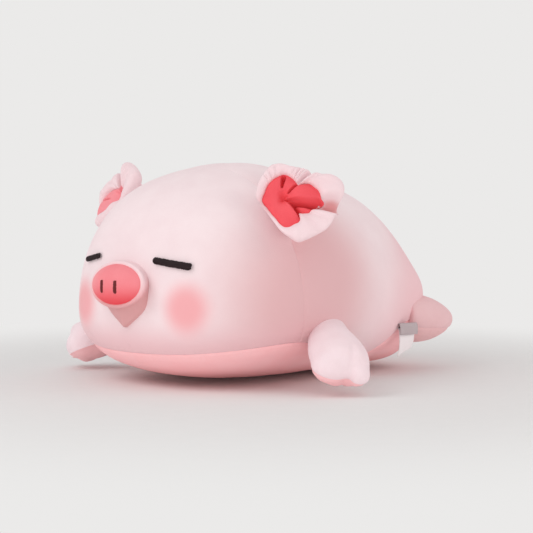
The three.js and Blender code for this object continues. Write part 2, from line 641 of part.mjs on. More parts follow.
function footForm(frame, inset) {
  return limbForm(frame, FOOT_LENGTH, FOOT_HALF_WIDTH, FOOT_HALF_THICKNESS, FOOT_PROFILE_SHARES, inset);
}

// What lies under a limb's sole seam, raised or lowered by half a gap
function underSole(frame, length, seam) {
  const reach = length + OVERRUN;
  const box = new THREE.BoxGeometry(2 * reach, 2 * reach, reach);
  box.translate(0, 0, seam - reach / 2);
  return placedSolid(box, frame);
}

function limbPieces(frame, form, length, seam, hinge, lift) {
  const turns = [lift / 2, lift];
  const skin = clearOfBody(form(frame, 0).subtract(form(frame, FABRIC)), hinge, turns);
  return {
    upper: skin.subtract(underSole(frame, length, seam + halfGap)),
    sole: skin.intersect(underSole(frame, length, seam - halfGap)),
    stuffing: clearOfBody(form(frame, FABRIC + SEAM_GAP), hinge, turns),
  };
}

// A place under the cloth of the body's own left side
function rootAt(y, z, depth) {
  return new THREE.Vector3(bodyHalfWidthAt(y, z) - depth, y, z);
}

function paw(name) {
  const root = rootAt(FACE_SEAM_Y + PAW_SET_BACK, WIDEST_HEIGHT - PAW_DROP, PAW_ROOT_DEPTH);
  const frame = limbFrame(SIDES[name], root, -PAW_HEADINGS[name], PAW_SLOPES[name], PAW_ROLL);
  const hinge = hingeAt(SIDES[name], root.y - PAW_HINGE_AHEAD, root.z + PAW_HINGE_RISE);
  return limbPieces(frame, pawForm, PAW_LENGTH, -PAW_HALF_THICKNESS * PAW_SOLE_SHARE, hinge, PAW_LIFT);
}

function foot(name) {
  const root = rootAt(BODY_REAR_REACH - FOOT_FROM_RUMP, WIDEST_HEIGHT - FOOT_DROP, FOOT_ROOT_DEPTH);
  const frame = limbFrame(SIDES[name], root, FOOT_HEADING, FOOT_SLOPE);
  const hinge = hingeAt(SIDES[name], root.y + FOOT_HINGE_BEHIND, root.z + FOOT_HINGE_RISE);
  return limbPieces(frame, footForm, FOOT_LENGTH, -FOOT_HALF_THICKNESS * FOOT_SOLE_SHARE, hinge, FOOT_LIFT);
}

// Tail
function tail() {
  const root = bodyPoint(Math.PI, 0, 0).y;
  const height = WIDEST_HEIGHT + TAIL_RISE;
  const reach = TAIL_SINK + TAIL_COIL * 2 * Math.PI * TAIL_TURNS;
  const middle = new THREE.CatmullRomCurve3(Array.from({ length: TAIL_STEPS + 1 }, (_, step) => {
    const share = step / TAIL_STEPS;
    const coil = Math.max(0, (share * reach - TAIL_SINK) / (reach - TAIL_SINK));
    const turn = 2 * Math.PI * TAIL_TURNS * coil;
    return new THREE.Vector3(
      TAIL_COIL * Math.sin(turn),
      root + Math.min(0, share * reach - TAIL_SINK) + TAIL_RADIUS + TAIL_PITCH * coil,
      height + TAIL_COIL * (1 - Math.cos(turn)),
    );
  }));
  const frames = middle.computeFrenetFrames(TAIL_STEPS);
  const rings = frames.tangents.map((_, step) => {
    const share = step / TAIL_STEPS;
    const radius = TAIL_RADIUS * Math.sqrt(1 - share ** 4) * (1 - TAIL_THINNING_SHARE * share);
    return Array.from({ length: TAIL_SIDES }, (_, side) => {
      const turn = (2 * Math.PI * side) / TAIL_SIDES;
      return middle.getPointAt(share)
        .addScaledVector(frames.normals[step], radius * Math.cos(turn))
        .addScaledVector(frames.binormals[step], radius * Math.sin(turn));
    });
  }).slice(0, -1);
  const hinge = { pivot: new THREE.Vector3(0, root, height), axis: new THREE.Vector3(0, 0, 1) };
  const curl = ringSolid(middle.getPointAt(0), rings, middle.getPointAt(1));
  return clearOfBody(curl, hinge, [TAIL_WAG, -TAIL_WAG]);
}

// Labels
const labelY = BODY_REAR_REACH - FOOT_FROM_RUMP - LABEL_AHEAD;

// Each is a strip whose centre line leaves the seam, folds over and hangs; `x` is outward and `y` up.
function labelStrip(centreLine) {
  const curve = new THREE.SplineCurve(centreLine);
  const sides = [1, -1].map((side) => curve.getPoints(LABEL_STEPS).map((point, step) => {
    const slope = curve.getTangent(step / LABEL_STEPS);
    return new THREE.Vector2(
      point.x - side * slope.y * LABEL_THICKNESS / 2,
      point.y + side * slope.x * LABEL_THICKNESS / 2,
    );
  }));
  const outline = new THREE.Shape([...sides[0], ...sides[1].reverse()]);
  const geometry = new THREE.ExtrudeGeometry(outline, { depth: LABEL_WIDTH, bevelEnabled: false });
  geometry.translate(0, 0, -LABEL_WIDTH / 2);
  const ahead = seamPoint(labelY - LABEL_WIDTH / 2);
  const behind = seamPoint(labelY + LABEL_WIDTH / 2);
  const alongLabel = new THREE.Vector3().subVectors(ahead, behind).setZ(0).normalize()
    .applyAxisAngle(new THREE.Vector3(0, 0, 1), -THREE.MathUtils.degToRad(LABEL_TURN));
  const outward = new THREE.Vector3(-alongLabel.y, alongLabel.x, 0);
  const upward = new THREE.Vector3().crossVectors(alongLabel, outward);
  const frame = new THREE.Matrix4().makeBasis(outward, upward, alongLabel);
  frame.setPosition(seamPoint(labelY));
  geometry.applyMatrix4(frame);
  return toManifold(geometry).subtract(bodyClearance);
}

const careLabel = labelStrip([
  new THREE.Vector2(-FABRIC, 0),
  new THREE.Vector2(LABEL_STAND_OFF * 0.7, 0),
  new THREE.Vector2(LABEL_STAND_OFF, -LABEL_STAND_OFF),
  new THREE.Vector2(LABEL_STAND_OFF * 0.6, -LABEL_LENGTH / 2),
  new THREE.Vector2(-LABEL_STAND_OFF, -LABEL_LENGTH),
]);
const tabRise = 2 * LABEL_THICKNESS;
const tabReach = LABEL_STAND_OFF + 3 * LABEL_THICKNESS;
const sewnTab = labelStrip([
  new THREE.Vector2(-FABRIC, tabRise),
  new THREE.Vector2(tabReach * 0.7, tabRise),
  new THREE.Vector2(tabReach, tabRise - LABEL_STAND_OFF),
  new THREE.Vector2(tabReach, tabRise - TAB_LENGTH),
]);

const group = new THREE.Group();
group.name = 'plush_pig';

function addPiece(name, solid, colour) {
  const material = new THREE.MeshStandardMaterial({ color: colour, roughness: 0.95, metalness: 0 });
  const mesh = new THREE.Mesh(toGeometry(solid), material);
  mesh.name = name;
  group.add(mesh);
}
addPiece('body_stuffing', bodyStuffing, COLOURS.filling);
addPiece('face_panel', facePanel, COLOURS.face);
addPiece('belly_panel', bellyPanel, COLOURS.belly);
addPiece('snout_sleeve', snoutSleeve, COLOURS.face);
addPiece('snout_disc', snoutDisc, COLOURS.disc);
addPiece('snout_stuffing', snoutStuffing, COLOURS.filling);
for (const [name, side] of Object.entries(SIDES)) {
  addPiece(`back_panel_${name}`, backPanels[name], COLOURS.back);
  addPiece(`eye_${name}`, eye(side), COLOURS.eyeThread);
  addPiece(`nostril_${name}`, nostril(side), COLOURS.nostrilThread);
  addPiece(`ear_outer_${name}`, earOuter(earFrames[name]).subtract(bodyClearance), COLOURS.ear);
  addPiece(`ear_lining_${name}`, earLining(earFrames[name]).subtract(bodyClearance), COLOURS.lining);
  const front = paw(name);
  addPiece(`paw_${name}_top`, front.upper, COLOURS.limb);
  addPiece(`paw_${name}_sole`, front.sole, COLOURS.sole);
  addPiece(`paw_${name}_stuffing`, front.stuffing, COLOURS.filling);
  const hind = foot(name);
  addPiece(`foot_${name}_top`, hind.upper, COLOURS.foot);
  addPiece(`foot_${name}_sole`, hind.sole, COLOURS.sole);
  addPiece(`foot_${name}_stuffing`, hind.stuffing, COLOURS.filling);
}
addPiece('tail', tail(), COLOURS.foot);
addPiece('care_label', careLabel, COLOURS.label);
addPiece('sewn_tab', sewnTab, COLOURS.tab);

export default group;
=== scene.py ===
# %% [markdown]
# A plush pig that lies on its belly. The rigid model under it comes from the CAD frame: it says where
# every panel, limb and seam is and what moves. This file builds the looks on that frame: stuffed cloth
# forms, their seams, the gathered ears, the satin-stitched eyes and the velvet pile. Everything is in
# metres, and the pig faces -Y.

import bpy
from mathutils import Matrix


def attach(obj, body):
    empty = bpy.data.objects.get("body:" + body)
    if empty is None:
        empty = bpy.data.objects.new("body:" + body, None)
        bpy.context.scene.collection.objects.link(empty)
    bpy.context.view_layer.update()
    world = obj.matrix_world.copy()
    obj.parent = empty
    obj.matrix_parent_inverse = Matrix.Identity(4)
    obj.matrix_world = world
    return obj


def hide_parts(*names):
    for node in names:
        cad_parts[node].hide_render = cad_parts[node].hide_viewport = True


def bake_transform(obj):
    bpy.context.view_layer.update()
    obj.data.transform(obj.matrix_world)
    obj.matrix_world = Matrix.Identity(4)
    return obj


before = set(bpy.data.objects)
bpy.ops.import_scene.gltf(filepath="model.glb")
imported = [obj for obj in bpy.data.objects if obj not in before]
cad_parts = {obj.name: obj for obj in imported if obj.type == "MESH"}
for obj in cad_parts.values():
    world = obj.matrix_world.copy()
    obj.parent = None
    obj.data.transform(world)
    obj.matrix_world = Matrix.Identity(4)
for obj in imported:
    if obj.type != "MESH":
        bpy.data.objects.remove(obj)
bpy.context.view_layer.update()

import math

import bmesh
import bpy
import numpy as np
from mathutils import Vector, noise

MM = 0.001

# %% [markdown]
# Colours are picked as sRGB hex values, as a designer reads them off a screen. Blender's shaders work in
# linear light, so one function turns a hex value into linear numbers, and everything else goes through
# it.

# %% Colours


def linear(hex_value):
    """An sRGB hex value as linear red, green, blue and alpha."""
    channels = [(hex_value >> shift & 255) / 255 for shift in (16, 8, 0)]
    return [c / 12.92 if c <= 0.04045 else ((c + 0.055) / 1.055) ** 2.4 for c in channels] + [1.0]


print("middle grey in linear light:", round(linear(0x808080)[0], 3))

# %% [markdown]
# Every material here is a small tree of nodes. One helper adds a node of any kind, sets what is constant
# on it and links what comes from other nodes, so that a material reads as a list of its layers. Another
# starts a material.

# %% Helpers for materials and objects


def add_node(tree, kind, settings=None, **inputs):
    """Adds a node. `settings` are its own properties, and `inputs` are values or other nodes' outputs."""
    node = tree.nodes.new(kind)
    for name, value in (settings or {}).items():
        setattr(node, name, value)
    for name, value in inputs.items():
        plain = name.replace("_", " ").lower()
        named = [s for s in node.inputs if s.enabled and s.name.lower() == plain]
        socket = named[0] if named else node.inputs[int(name.split("_")[-1])]
        if isinstance(value, bpy.types.NodeSocket):
            tree.links.new(value, socket)
        else:
            socket.default_value = value
    return node


def new_material(name, roughness):
    """A material with one principled shader, and the tree that still has to be filled."""
    material = bpy.data.materials.new(name)
    material.use_nodes = True
    shader = material.node_tree.nodes["Principled BSDF"]
    shader.inputs["Roughness"].default_value = roughness
    return material, material.node_tree, shader


def new_object(name, data):
    """An object in the scene that shows this mesh, lamp or camera."""
    thing = bpy.data.objects.new(name, data)
    bpy.context.scene.collection.objects.link(thing)
    return thing


def shade_smooth(mesh):
    """Makes a mesh's faces blend into each other in the light, as cloth does."""
    mesh.polygons.foreach_set("use_smooth", [True] * len(mesh.polygons))


# %% [markdown]
# The toy is sewn from velvet plush: a knitted backing with a cut pile of about 1 mm. The pile has no
# gloss, it glows a little where it is seen edge on, and its shade shifts in soft patches where the nap
# lies another way. That is a rough diffuse surface with sheen, mottled by a wide noise, over a fine fuzzy
# bump. A single fibre is 0.02 mm wide, too fine to show, so the fuzz is drawn in tufts of about 0.9 mm.

# %% Velvet plush
NAP_PATCH, TUFT = 28 * MM, 0.9 * MM


def velvet_plush(name, shade, deep_shade, *tints):
    """Cut-pile plush. `shade` is the pile seen straight on, `deep_shade` where the nap lies away. Each tint
    lays another colour over it in places."""
    material, tree, shader = new_material(name, 0.92)
    place = add_node(tree, "ShaderNodeTexCoord").outputs["Object"]
    nap = add_node(tree, "ShaderNodeTexNoise", Vector=place, Scale=1 / NAP_PATCH, Detail=3.0,
                   Roughness=0.55).outputs["Fac"]
    tufts = add_node(tree, "ShaderNodeTexNoise", Vector=place, Scale=1 / TUFT, Detail=2.0,
                     Roughness=0.6).outputs["Fac"]
    mottle = add_node(tree, "ShaderNodeMapRange", Value=nap, From_Min=0.35, From_Max=0.7,
                      To_Min=0.0, To_Max=0.55)
    speck = add_node(tree, "ShaderNodeMapRange", Value=tufts, From_Min=0.3, From_Max=0.75,
                     To_Min=0.3, To_Max=0.0)
    amount = add_node(tree, "ShaderNodeMath", {"operation": "ADD"}, _0=mottle.outputs[0], _1=speck.outputs[0])
    pile = add_node(tree, "ShaderNodeMix", {"data_type": "RGBA"}, Factor=amount.outputs[0],
                    A=linear(shade), B=linear(deep_shade)).outputs["Result"]
    for tint in tints:
        pile = tint(tree, place, pile)
    tree.links.new(pile, shader.inputs["Base Color"])
    pressed = add_node(tree, "ShaderNodeBump", Strength=0.25, Distance=1.2 * MM, Height=nap)
    fuzz = add_node(tree, "ShaderNodeBump", Strength=0.35, Distance=0.35 * MM, Height=tufts,
                    Normal=pressed.outputs["Normal"])
    tree.links.new(fuzz.outputs["Normal"], shader.inputs["Normal"])
    shader.inputs["Specular IOR Level"].default_value = 0.2
    shader.inputs["Sheen Weight"].default_value = 0.22
    shader.inputs["Sheen Roughness"].default_value = 0.45
    shader.inputs["Sheen Tint"].default_value = linear(shade)
    return material


# %% [markdown]
# A tint is a second colour that comes in softly between two values of a measure: how far a place lies along a
# direction, or how far it is from a middle. Tints lay on the dyed blush, and they also paint shade and light
# into the cloth: painted shade that is pinker or darker low down and beside a seam, and painted light that is
# paler on the side where the lamps fall.

# %% Tints along a direction and round a place


def tint_between(measure, colour, start, end, most):
    """A tint from nothing where the measure is `start` mm to `most` where it is `end` mm."""
    def tint(tree, place, pile):
        amount = add_node(tree, "ShaderNodeMapRange", {"interpolation_type": "SMOOTHERSTEP"},
                          Value=measure(tree, place), From_Min=start * MM, From_Max=end * MM,
                          To_Min=0.0, To_Max=most)
        return add_node(tree, "ShaderNodeMix", {"data_type": "RGBA"}, Factor=amount.outputs[0], A=pile,
                        B=linear(colour)).outputs["Result"]
    return tint


def tint_along(colour, direction, start, end, most=1.0):
    """A tint from nothing at `start` to `most` at `end`, both in mm along `direction`."""
    def along(tree, place):
        return add_node(tree, "ShaderNodeVectorMath", {"operation": "DOT_PRODUCT"}, _0=place,
                        _1=list(direction)).outputs["Value"]
    return tint_between(along, colour, start, end, most)


def tint_round(colour, middle, inner, outer, most=1.0):
    """A tint that is `most` up to `inner` mm from a place and gone at `outer` mm."""
    def away(tree, place):
        return add_node(tree, "ShaderNodeVectorMath", {"operation": "DISTANCE"}, _0=place,
                        _1=[value * MM for value in middle]).outputs["Value"]
    return tint_between(away, colour, outer, inner, most)


# %% [markdown]
# The camera stands where the photograph's stood: 44 degrees round from straight ahead and 6.6 degrees up,
# as seen from the toy, 1.35 m away with a long lens. It looks a little over the toy, which leaves room
# below it in the picture, so no shift is needed.

# %% Camera
CAMERA_AZIMUTH = 44.05
CAMERA_ELEVATION = 2.15
CAMERA_PLACE = Vector((930.2, -966.0, 155.2)) * MM
CAMERA_LENS, SENSOR_WIDTH = 91.36, 36  # mm

camera_data = bpy.data.cameras.new("camera")
camera_data.lens = CAMERA_LENS
camera_data.sensor_width = SENSOR_WIDTH
camera = new_object("camera", camera_data)
azimuth, elevation = math.radians(CAMERA_AZIMUTH), math.radians(CAMERA_ELEVATION)
towards_camera = Vector((math.sin(azimuth) * math.cos(elevation), -math.cos(azimuth) * math.cos(elevation),
                         math.sin(elevation)))
camera.location = CAMERA_PLACE
camera.rotation_euler = (-towards_camera).to_track_quat("-Z", "Y").to_euler()
bpy.context.scene.camera = camera
bpy.context.scene.view_settings.view_transform = "Standard"
print("camera at, mm:", [round(value / MM) for value in camera.location])

# %% [markdown]
# A plain studio: one pale floor that runs back into a wall in a wide curve, so that no edge shows behind
# the toy. It is one strip of paper, so it is built as one sheet of quads that bends up.

# %% Floor and backdrop
PAPER = 0xEBEAE9
PAPER_FRONT, PAPER_REAR, PAPER_BEND, PAPER_TOP, PAPER_HALF_WIDTH = -2.5, 1.2, 1.0, 4.0, 4  # metres
BEND_STEPS = 12
paper_profile = [(PAPER_FRONT, 0), (PAPER_REAR, 0)]
for step in range(1, BEND_STEPS + 1):
    turn = math.radians(90 * step / BEND_STEPS)
    paper_profile.append((PAPER_REAR + PAPER_BEND * math.sin(turn), PAPER_BEND - PAPER_BEND * math.cos(turn)))
paper_profile.append((PAPER_REAR + PAPER_BEND, PAPER_TOP))
paper_mesh = bpy.data.meshes.new("paper")
paper_points = [(side * PAPER_HALF_WIDTH, back, up) for back, up in paper_profile for side in (-1, 1)]
paper_faces = [(2 * i, 2 * i + 1, 2 * i + 3, 2 * i + 2) for i in range(len(paper_profile) - 1)]
paper_mesh.from_pydata(paper_points, [], paper_faces)
shade_smooth(paper_mesh)
paper = new_object("paper_backdrop", paper_mesh)
paper.rotation_euler.z = math.radians(CAMERA_AZIMUTH)
print("backdrop points:", len(paper_points))

# %% [markdown]
# Studio paper is matt and even, so it is a plain diffuse surface. The camera sees it in the photograph's
# pale grey, while the light that it throws back on the toy is nearly white, as from a brighter studio.
# Further out it fades into an even glow of the same grey, so that the floor and the wall look as one.

# %% Studio paper
GRAIN_GREY, BOUNCE_WHITE = 0xE8E7E6, 0xFBFAFA
FADE_START, FADE_END = 0.24, 0.7  # metres from the toy's middle
studio_paper, paper_tree, paper_shader = new_material("studio_paper", 0.95)
paper_shader.inputs["Specular IOR Level"].default_value = 0.1
paper_grain = add_node(paper_tree, "ShaderNodeTexNoise", Scale=400.0, Detail=2.0)
paper_tone = add_node(paper_tree, "ShaderNodeMix", {"data_type": "RGBA"}, Factor=paper_grain.outputs["Fac"],
                      A=linear(PAPER), B=linear(GRAIN_GREY))
seen_straight = add_node(paper_tree, "ShaderNodeLightPath").outputs["Is Camera Ray"]
paper_bounce = add_node(paper_tree, "ShaderNodeMix", {"data_type": "RGBA"}, Factor=seen_straight,
                        A=linear(BOUNCE_WHITE), B=paper_tone.outputs["Result"])
paper_tree.links.new(paper_bounce.outputs["Result"], paper_shader.inputs["Base Color"])
paper_place = add_node(paper_tree, "ShaderNodeNewGeometry").outputs["Position"]
paper_away = add_node(paper_tree, "ShaderNodeVectorMath", {"operation": "LENGTH"}, _0=paper_place)
paper_far = add_node(paper_tree, "ShaderNodeMapRange", {"interpolation_type": "SMOOTHERSTEP"},
                     Value=paper_away.outputs["Value"], From_Min=FADE_START, From_Max=FADE_END)
paper_share = add_node(paper_tree, "ShaderNodeMath", {"operation": "MULTIPLY"}, _0=paper_far.outputs[0],
                       _1=seen_straight)
paper_even = add_node(paper_tree, "ShaderNodeEmission", Color=linear(PAPER), Strength=1.0)
paper_look = add_node(paper_tree, "ShaderNodeMixShader", _0=paper_share.outputs[0],
                      _1=paper_shader.outputs[0], _2=paper_even.outputs[0])
paper_tree.links.new(paper_look.outputs[0], paper_tree.nodes["Material Output"].inputs["Surface"])
paper_mesh.materials.append(studio_paper)
print("the paper's fade, m:", FADE_START, "to", FADE_END)

# %% [markdown]
# Soft light from everywhere, as in a white studio. One large soft lamp high on the left gives the round
# forms their shape, a low wide one in front lights the underside as a reflector on the floor would, and
# one behind on the right keeps the rump bright. The backdrop that the camera sees past the paper is the
# same pale grey.

# %% Light
WHITE, WARM_WHITE = 0xFFFFFF, 0xFFF4F2
LIT_PLACE = Vector((0, 0, 0.08))  # the middle of the toy, which the lamps face
world = bpy.data.worlds.new("studio")
bpy.context.scene.world = world
world.use_nodes = True
sky = world.node_tree
sky.nodes.clear()
rays = add_node(sky, "ShaderNodeLightPath")
seen = add_node(sky, "ShaderNodeBackground", Color=linear(PAPER), Strength=1.0)
lit = add_node(sky, "ShaderNodeBackground", Color=linear(WHITE), Strength=0.70)
chosen = add_node(sky, "ShaderNodeMixShader", _0=rays.outputs["Is Camera Ray"], _1=lit.outputs[0],
                  _2=seen.outputs[0])
add_node(sky, "ShaderNodeOutputWorld", Surface=chosen.outputs[0])


def soft_lamp(name, place, width, height, power, colour):
    """A flat lamp that faces the toy."""
    lamp = bpy.data.lights.new(name, "AREA")
    lamp.shape = "RECTANGLE"
    lamp.size, lamp.size_y = width, height
    lamp.energy = power
    lamp.color = linear(colour)[:3]
    lamp_object = new_object(name, lamp)
    lamp_object.location = place
    lamp_object.rotation_euler = (Vector(place) - LIT_PLACE).to_track_quat("Z", "Y").to_euler()
    return lamp_object


lamps = [soft_lamp("key_lamp", (-0.35, -1.35, 1.35), 1.1, 1.1, 6.5, WHITE),
         soft_lamp("low_lamp", (0.75, -1.05, 0.09), 1.2, 0.16, 2.5, WARM_WHITE),
         soft_lamp("rear_lamp", (1.35, 0.75, 0.75), 0.9, 0.9, 3.5, WARM_WHITE)]
print("lamps, W:", [round(lamp.data.energy, 1) for lamp in lamps])

# %% [markdown]
# The sizes of the body, as the pattern maker set them, in millimetres. They are the same as the solid
# model's, so the cloth lies where the CAD panels are.

# %% Sizes of the body
HALF_WIDTH = 133
FRONT_REACH = 186
REAR_REACH = 168
HEIGHT = 206
WIDEST_HEIGHT = 66
FLAT_DEPTH = 0.5
FACE_POWER, RUMP_POWER = 3.45, 3.35
BACK_POWER, BELLY_POWER = 2.13, 2.25
TAPER_START, TAPER_END = -110, 285
NARROWING_SHARE, FALL_SHARE = 0.34, 0.41
FACE_SEAM_Y = -88
BELLY_SEAM = [(-186, 30), (-88, 42), (28, 16), (82, 47), (168, 50)]  # y and height
print("body before it narrows, mm:", 2 * HALF_WIDTH, FRONT_REACH + REAR_REACH, HEIGHT)

# %% [markdown]
# The body is one fat rounded form. A ray in any direction from its middle meets the cloth at one place:
# the cross section is a fat rounded arch, the face and rump are blunter than a ball, and the back falls
# and narrows towards the rump. Working with directions lets any evenly spread ball of points be turned
# into the body.

# %% The form of the body
SIDES = {"left": 1, "right": -1}  # the sign of x on each side


def smoother(value):
    """A soft step from 0 to 1."""
    value = np.clip(value, 0, 1)
    return value ** 3 * (value * (value * 6 - 15) + 10)


def smooth_through(at, values, where):
    """A smooth line through values at rising places, read at `where`."""
    slopes = np.gradient(values, at)
    i = np.clip(np.searchsorted(at, where) - 1, 0, len(at) - 2)
    gap = at[i + 1] - at[i]
    t = (where - at[i]) / gap
    return ((2 * t ** 3 - 3 * t ** 2 + 1) * values[i] + (t ** 3 - 2 * t ** 2 + t) * gap * slopes[i]
            + (3 * t ** 2 - 2 * t ** 3) * values[i + 1] + (t ** 3 - t ** 2) * gap * slopes[i + 1])


def body_surface(directions, swell=0.0):
    """Where rays in these directions meet the cloth, in mm. `swell` moves the cloth out."""
    x, y, z = directions.T
    top, rear = z > 0, y > 0
    half_height = np.where(top, HEIGHT - WIDEST_HEIGHT, WIDEST_HEIGHT + FLAT_DEPTH) + swell
    reach = np.where(rear, REAR_REACH, FRONT_REACH) + swell
    round_power = np.where(top, BACK_POWER, BELLY_POWER)
    blunt_power = np.where(rear, RUMP_POWER, FACE_POWER)
    section = np.abs(x / (HALF_WIDTH + swell)) ** round_power + np.abs(z / half_height) ** round_power
    blunt = section ** (blunt_power / round_power) + np.abs(y / reach) ** blunt_power
    distance = blunt ** (-1 / blunt_power)
    fall = smoother((distance * y - TAPER_START) / (TAPER_END - TAPER_START))
    return np.stack([distance * x * (1 - NARROWING_SHARE * fall), distance * y,
                     WIDEST_HEIGHT + distance * z * np.where(top, 1 - FALL_SHARE * fall, 1)], axis=1)


def half_width_at(y, z):
    """How far the cloth stands from the middle plane at this place, in mm."""
    y, z = np.asarray(y, float), np.asarray(z, float)
    top = z > WIDEST_HEIGHT
    reach = np.where(y > 0, REAR_REACH, FRONT_REACH)
    blunt = np.where(y > 0, RUMP_POWER, FACE_POWER)
    round_power = np.where(top, BACK_POWER, BELLY_POWER)
    fall = smoother((y - TAPER_START) / (TAPER_END - TAPER_START))
    upper_height = (HEIGHT - WIDEST_HEIGHT) * (1 - FALL_SHARE * fall)
    half_height = np.where(top, upper_height, WIDEST_HEIGHT + FLAT_DEPTH)
    section = np.clip(1 - np.abs(y / reach) ** blunt, 0, 1) ** (round_power / blunt)
    left = np.clip(section - np.abs((z - WIDEST_HEIGHT) / half_height) ** round_power, 0, 1)
    return HALF_WIDTH * (1 - NARROWING_SHARE * fall) * left ** (1 / round_power)


def belly_seam_height(y):
    """The height of the seam between the upper cloth and the belly, a smooth line through a few places."""
    ys, heights = np.array(BELLY_SEAM, float).T
    return smooth_through(ys, heights, np.clip(np.asarray(y, float), ys[0], ys[-1]))


print("half width behind the cheek, mm:", round(float(half_width_at(FACE_SEAM_Y, WIDEST_HEIGHT)), 1))

# %% [markdown]
# A ball made from a cube's six squares has even quads and no poles, so cloth can swell on it evenly. Each
# square's grid is spread by angle, and points that two squares share are made one.

# %% Even balls of quads


def ball_of_quads(cells):
    """Directions over a ball, and the quads between them."""
    across = np.tan(np.linspace(-1, 1, cells + 1) * math.pi / 4)
    a, b = (grid.ravel() for grid in np.meshgrid(across, across, indexing="ij"))
    one = np.ones_like(a)
    squares = [(one, a, b), (-one, b, a), (b, one, a), (a, -one, b), (a, b, one), (b, a, -one)]
    points = np.concatenate([np.stack(square, axis=1) for square in squares])
    points /= np.linalg.norm(points, axis=1)[:, None]
    _, first, shared = np.unique(points.round(6), axis=0, return_index=True, return_inverse=True)
    shared = shared.ravel()
    quads = []
    for square in range(len(squares)):
        start = square * (cells + 1) ** 2
        for i in range(cells):
            for j in range(cells):
                corner = start + i * (cells + 1) + j
                beyond = corner + cells + 1
                quads.append([shared[corner], shared[beyond], shared[beyond + 1], shared[corner + 1]])
    return points[first], quads


BODY_CELLS, FILLING_CELLS, SMALL_CELLS = 44, 24, 10  # quads along the edge of a square
print("quads in a small ball:", len(ball_of_quads(SMALL_CELLS)[1]))

# %% [markdown]
# Forms are worked out as rows of numbers in millimetres, and Blender keeps them in metres. A few small
# functions go from one to the other, and read a mesh's points, normals and faces back.

# %% Meshes from points


def mesh_object(name, points, faces, material=None):
    """A smooth mesh from points in mm, whose faces are turned to face out."""
    mesh = bpy.data.meshes.new(name)
    mesh.from_pydata((np.asarray(points) * MM).tolist(), [], [[int(i) for i in face] for face in faces])
    work = bmesh.new()
    work.from_mesh(mesh)
    bmesh.ops.recalc_face_normals(work, faces=work.faces)
    work.to_mesh(mesh)
    work.free()
    shade_smooth(mesh)
    if material:
        mesh.materials.append(material)
    return new_object(name, mesh)


def rows_of(items, what):
    """Three numbers for each of a mesh's vertices or faces."""
    flat = np.empty(len(items) * 3)
    items.foreach_get(what, flat)
    return flat.reshape(-1, 3)


def points_of(thing):
    """The points of a mesh, in mm."""
    return rows_of(thing.data.vertices, "co") / MM


def normals_of(thing):
    """The way out of the cloth at each point."""
    return rows_of(thing.data.vertices, "normal")


def face_middles(thing):
    """The middles of a mesh's faces, in mm."""
    return rows_of(thing.data.polygons, "center") / MM


def set_points(thing, points):
    """Moves the points of a mesh to these places in mm."""
    thing.data.vertices.foreach_set("co", (np.asarray(points) * MM).ravel())
    thing.data.update()


def settle_modifiers(thing):
    """Turns what the modifiers make into the piece's own mesh."""
    made = bpy.data.meshes.new_from_object(thing.evaluated_get(bpy.context.evaluated_depsgraph_get()))
    thing.modifiers.clear()
    old, thing.data = thing.data, made
    bpy.data.meshes.remove(old)
    shade_smooth(made)
    return thing


def subdivided(thing):
    """Makes the mesh finer by one level, and rounder."""
    thing.modifiers.new("finer", "SUBSURF").levels = 1
    bpy.context.view_layer.update()
    return settle_modifiers(thing)


# %% [markdown]
# Filling swells the cloth between the seams, and the seams hold. Blender's cloth with pressure does the
# same: the points at a seam are pinned, the pressure pushes the rest out, and after twenty frames the
# form has the soft give of a stuffed toy. How far a point may move is capped, so the piece keeps its
# size.

# %% Stuff a form by cloth simulation
STUFFING_FRAMES = 20
print("frames for the filling to swell the cloth:", STUFFING_FRAMES)


def stuff(thing, held, pressure, cap):
    """Swells a closed form as its filling does. `held` says for each point how firmly a seam holds it."""
    start = points_of(thing)
    group = thing.vertex_groups.new(name="seams")
    for index in np.flatnonzero(held > 0.01):
        group.add([int(index)], float(held[index]), "REPLACE")
    cloth = thing.modifiers.new("cloth", "CLOTH")
    settings = cloth.settings
    settings.quality = 6
    settings.mass = 0.2
    settings.tension_stiffness = settings.compression_stiffness = 25
    settings.shear_stiffness = 12
    settings.bending_stiffness = 3
    settings.use_pressure = True
    settings.uniform_pressure_force = pressure
    settings.effector_weights.gravity = 0
    settings.vertex_group_mass = "seams"
    scene = bpy.context.scene
    for number in range(1, STUFFING_FRAMES + 1):
        scene.frame_set(number)
    swollen = thing.evaluated_get(bpy.context.evaluated_depsgraph_get()).to_mesh()
    change = rows_of(swollen.vertices, "co") / MM - start
    thing.modifiers.clear()
    thing.vertex_groups.clear()
    scene.frame_set(1)
    length = np.linalg.norm(change, axis=1)
    kept = cap * np.tanh(length / cap) / np.maximum(length, 1e-9)
    set_points(thing, start + change * kept[:, None])
    print(thing.name, "swells, mm:", round(float(np.mean(length * kept)), 2))


# %% [markdown]
# Cloth panels meet at a seam: the edges are turned in, so the seam lies in a narrow groove, and the
# stitches draw it into tiny puckers. A seam is given here as a level: a function of place that is zero on
# it. The mesh is made finer near the seam, cut where the level is zero, and then pressed in along it.

# %% Cut and press seams


def levels_of(work, level):
    """The level of every point of a mesh that is being worked on."""
    return level(np.array([v.co for v in work.verts]) / MM)


def refine_near(work, level, reach, cuts):
    """Makes the mesh finer within `reach` mm of the seam."""
    for _ in range(cuts):
        near = {v for v, value in zip(work.verts, levels_of(work, level)) if abs(value) < reach}
        edges = [e for e in work.edges if e.verts[0] in near and e.verts[1] in near]
        bmesh.ops.subdivide_edges(work, edges=edges, cuts=1, use_grid_fill=True, smooth=0.0)
        reach *= 0.7


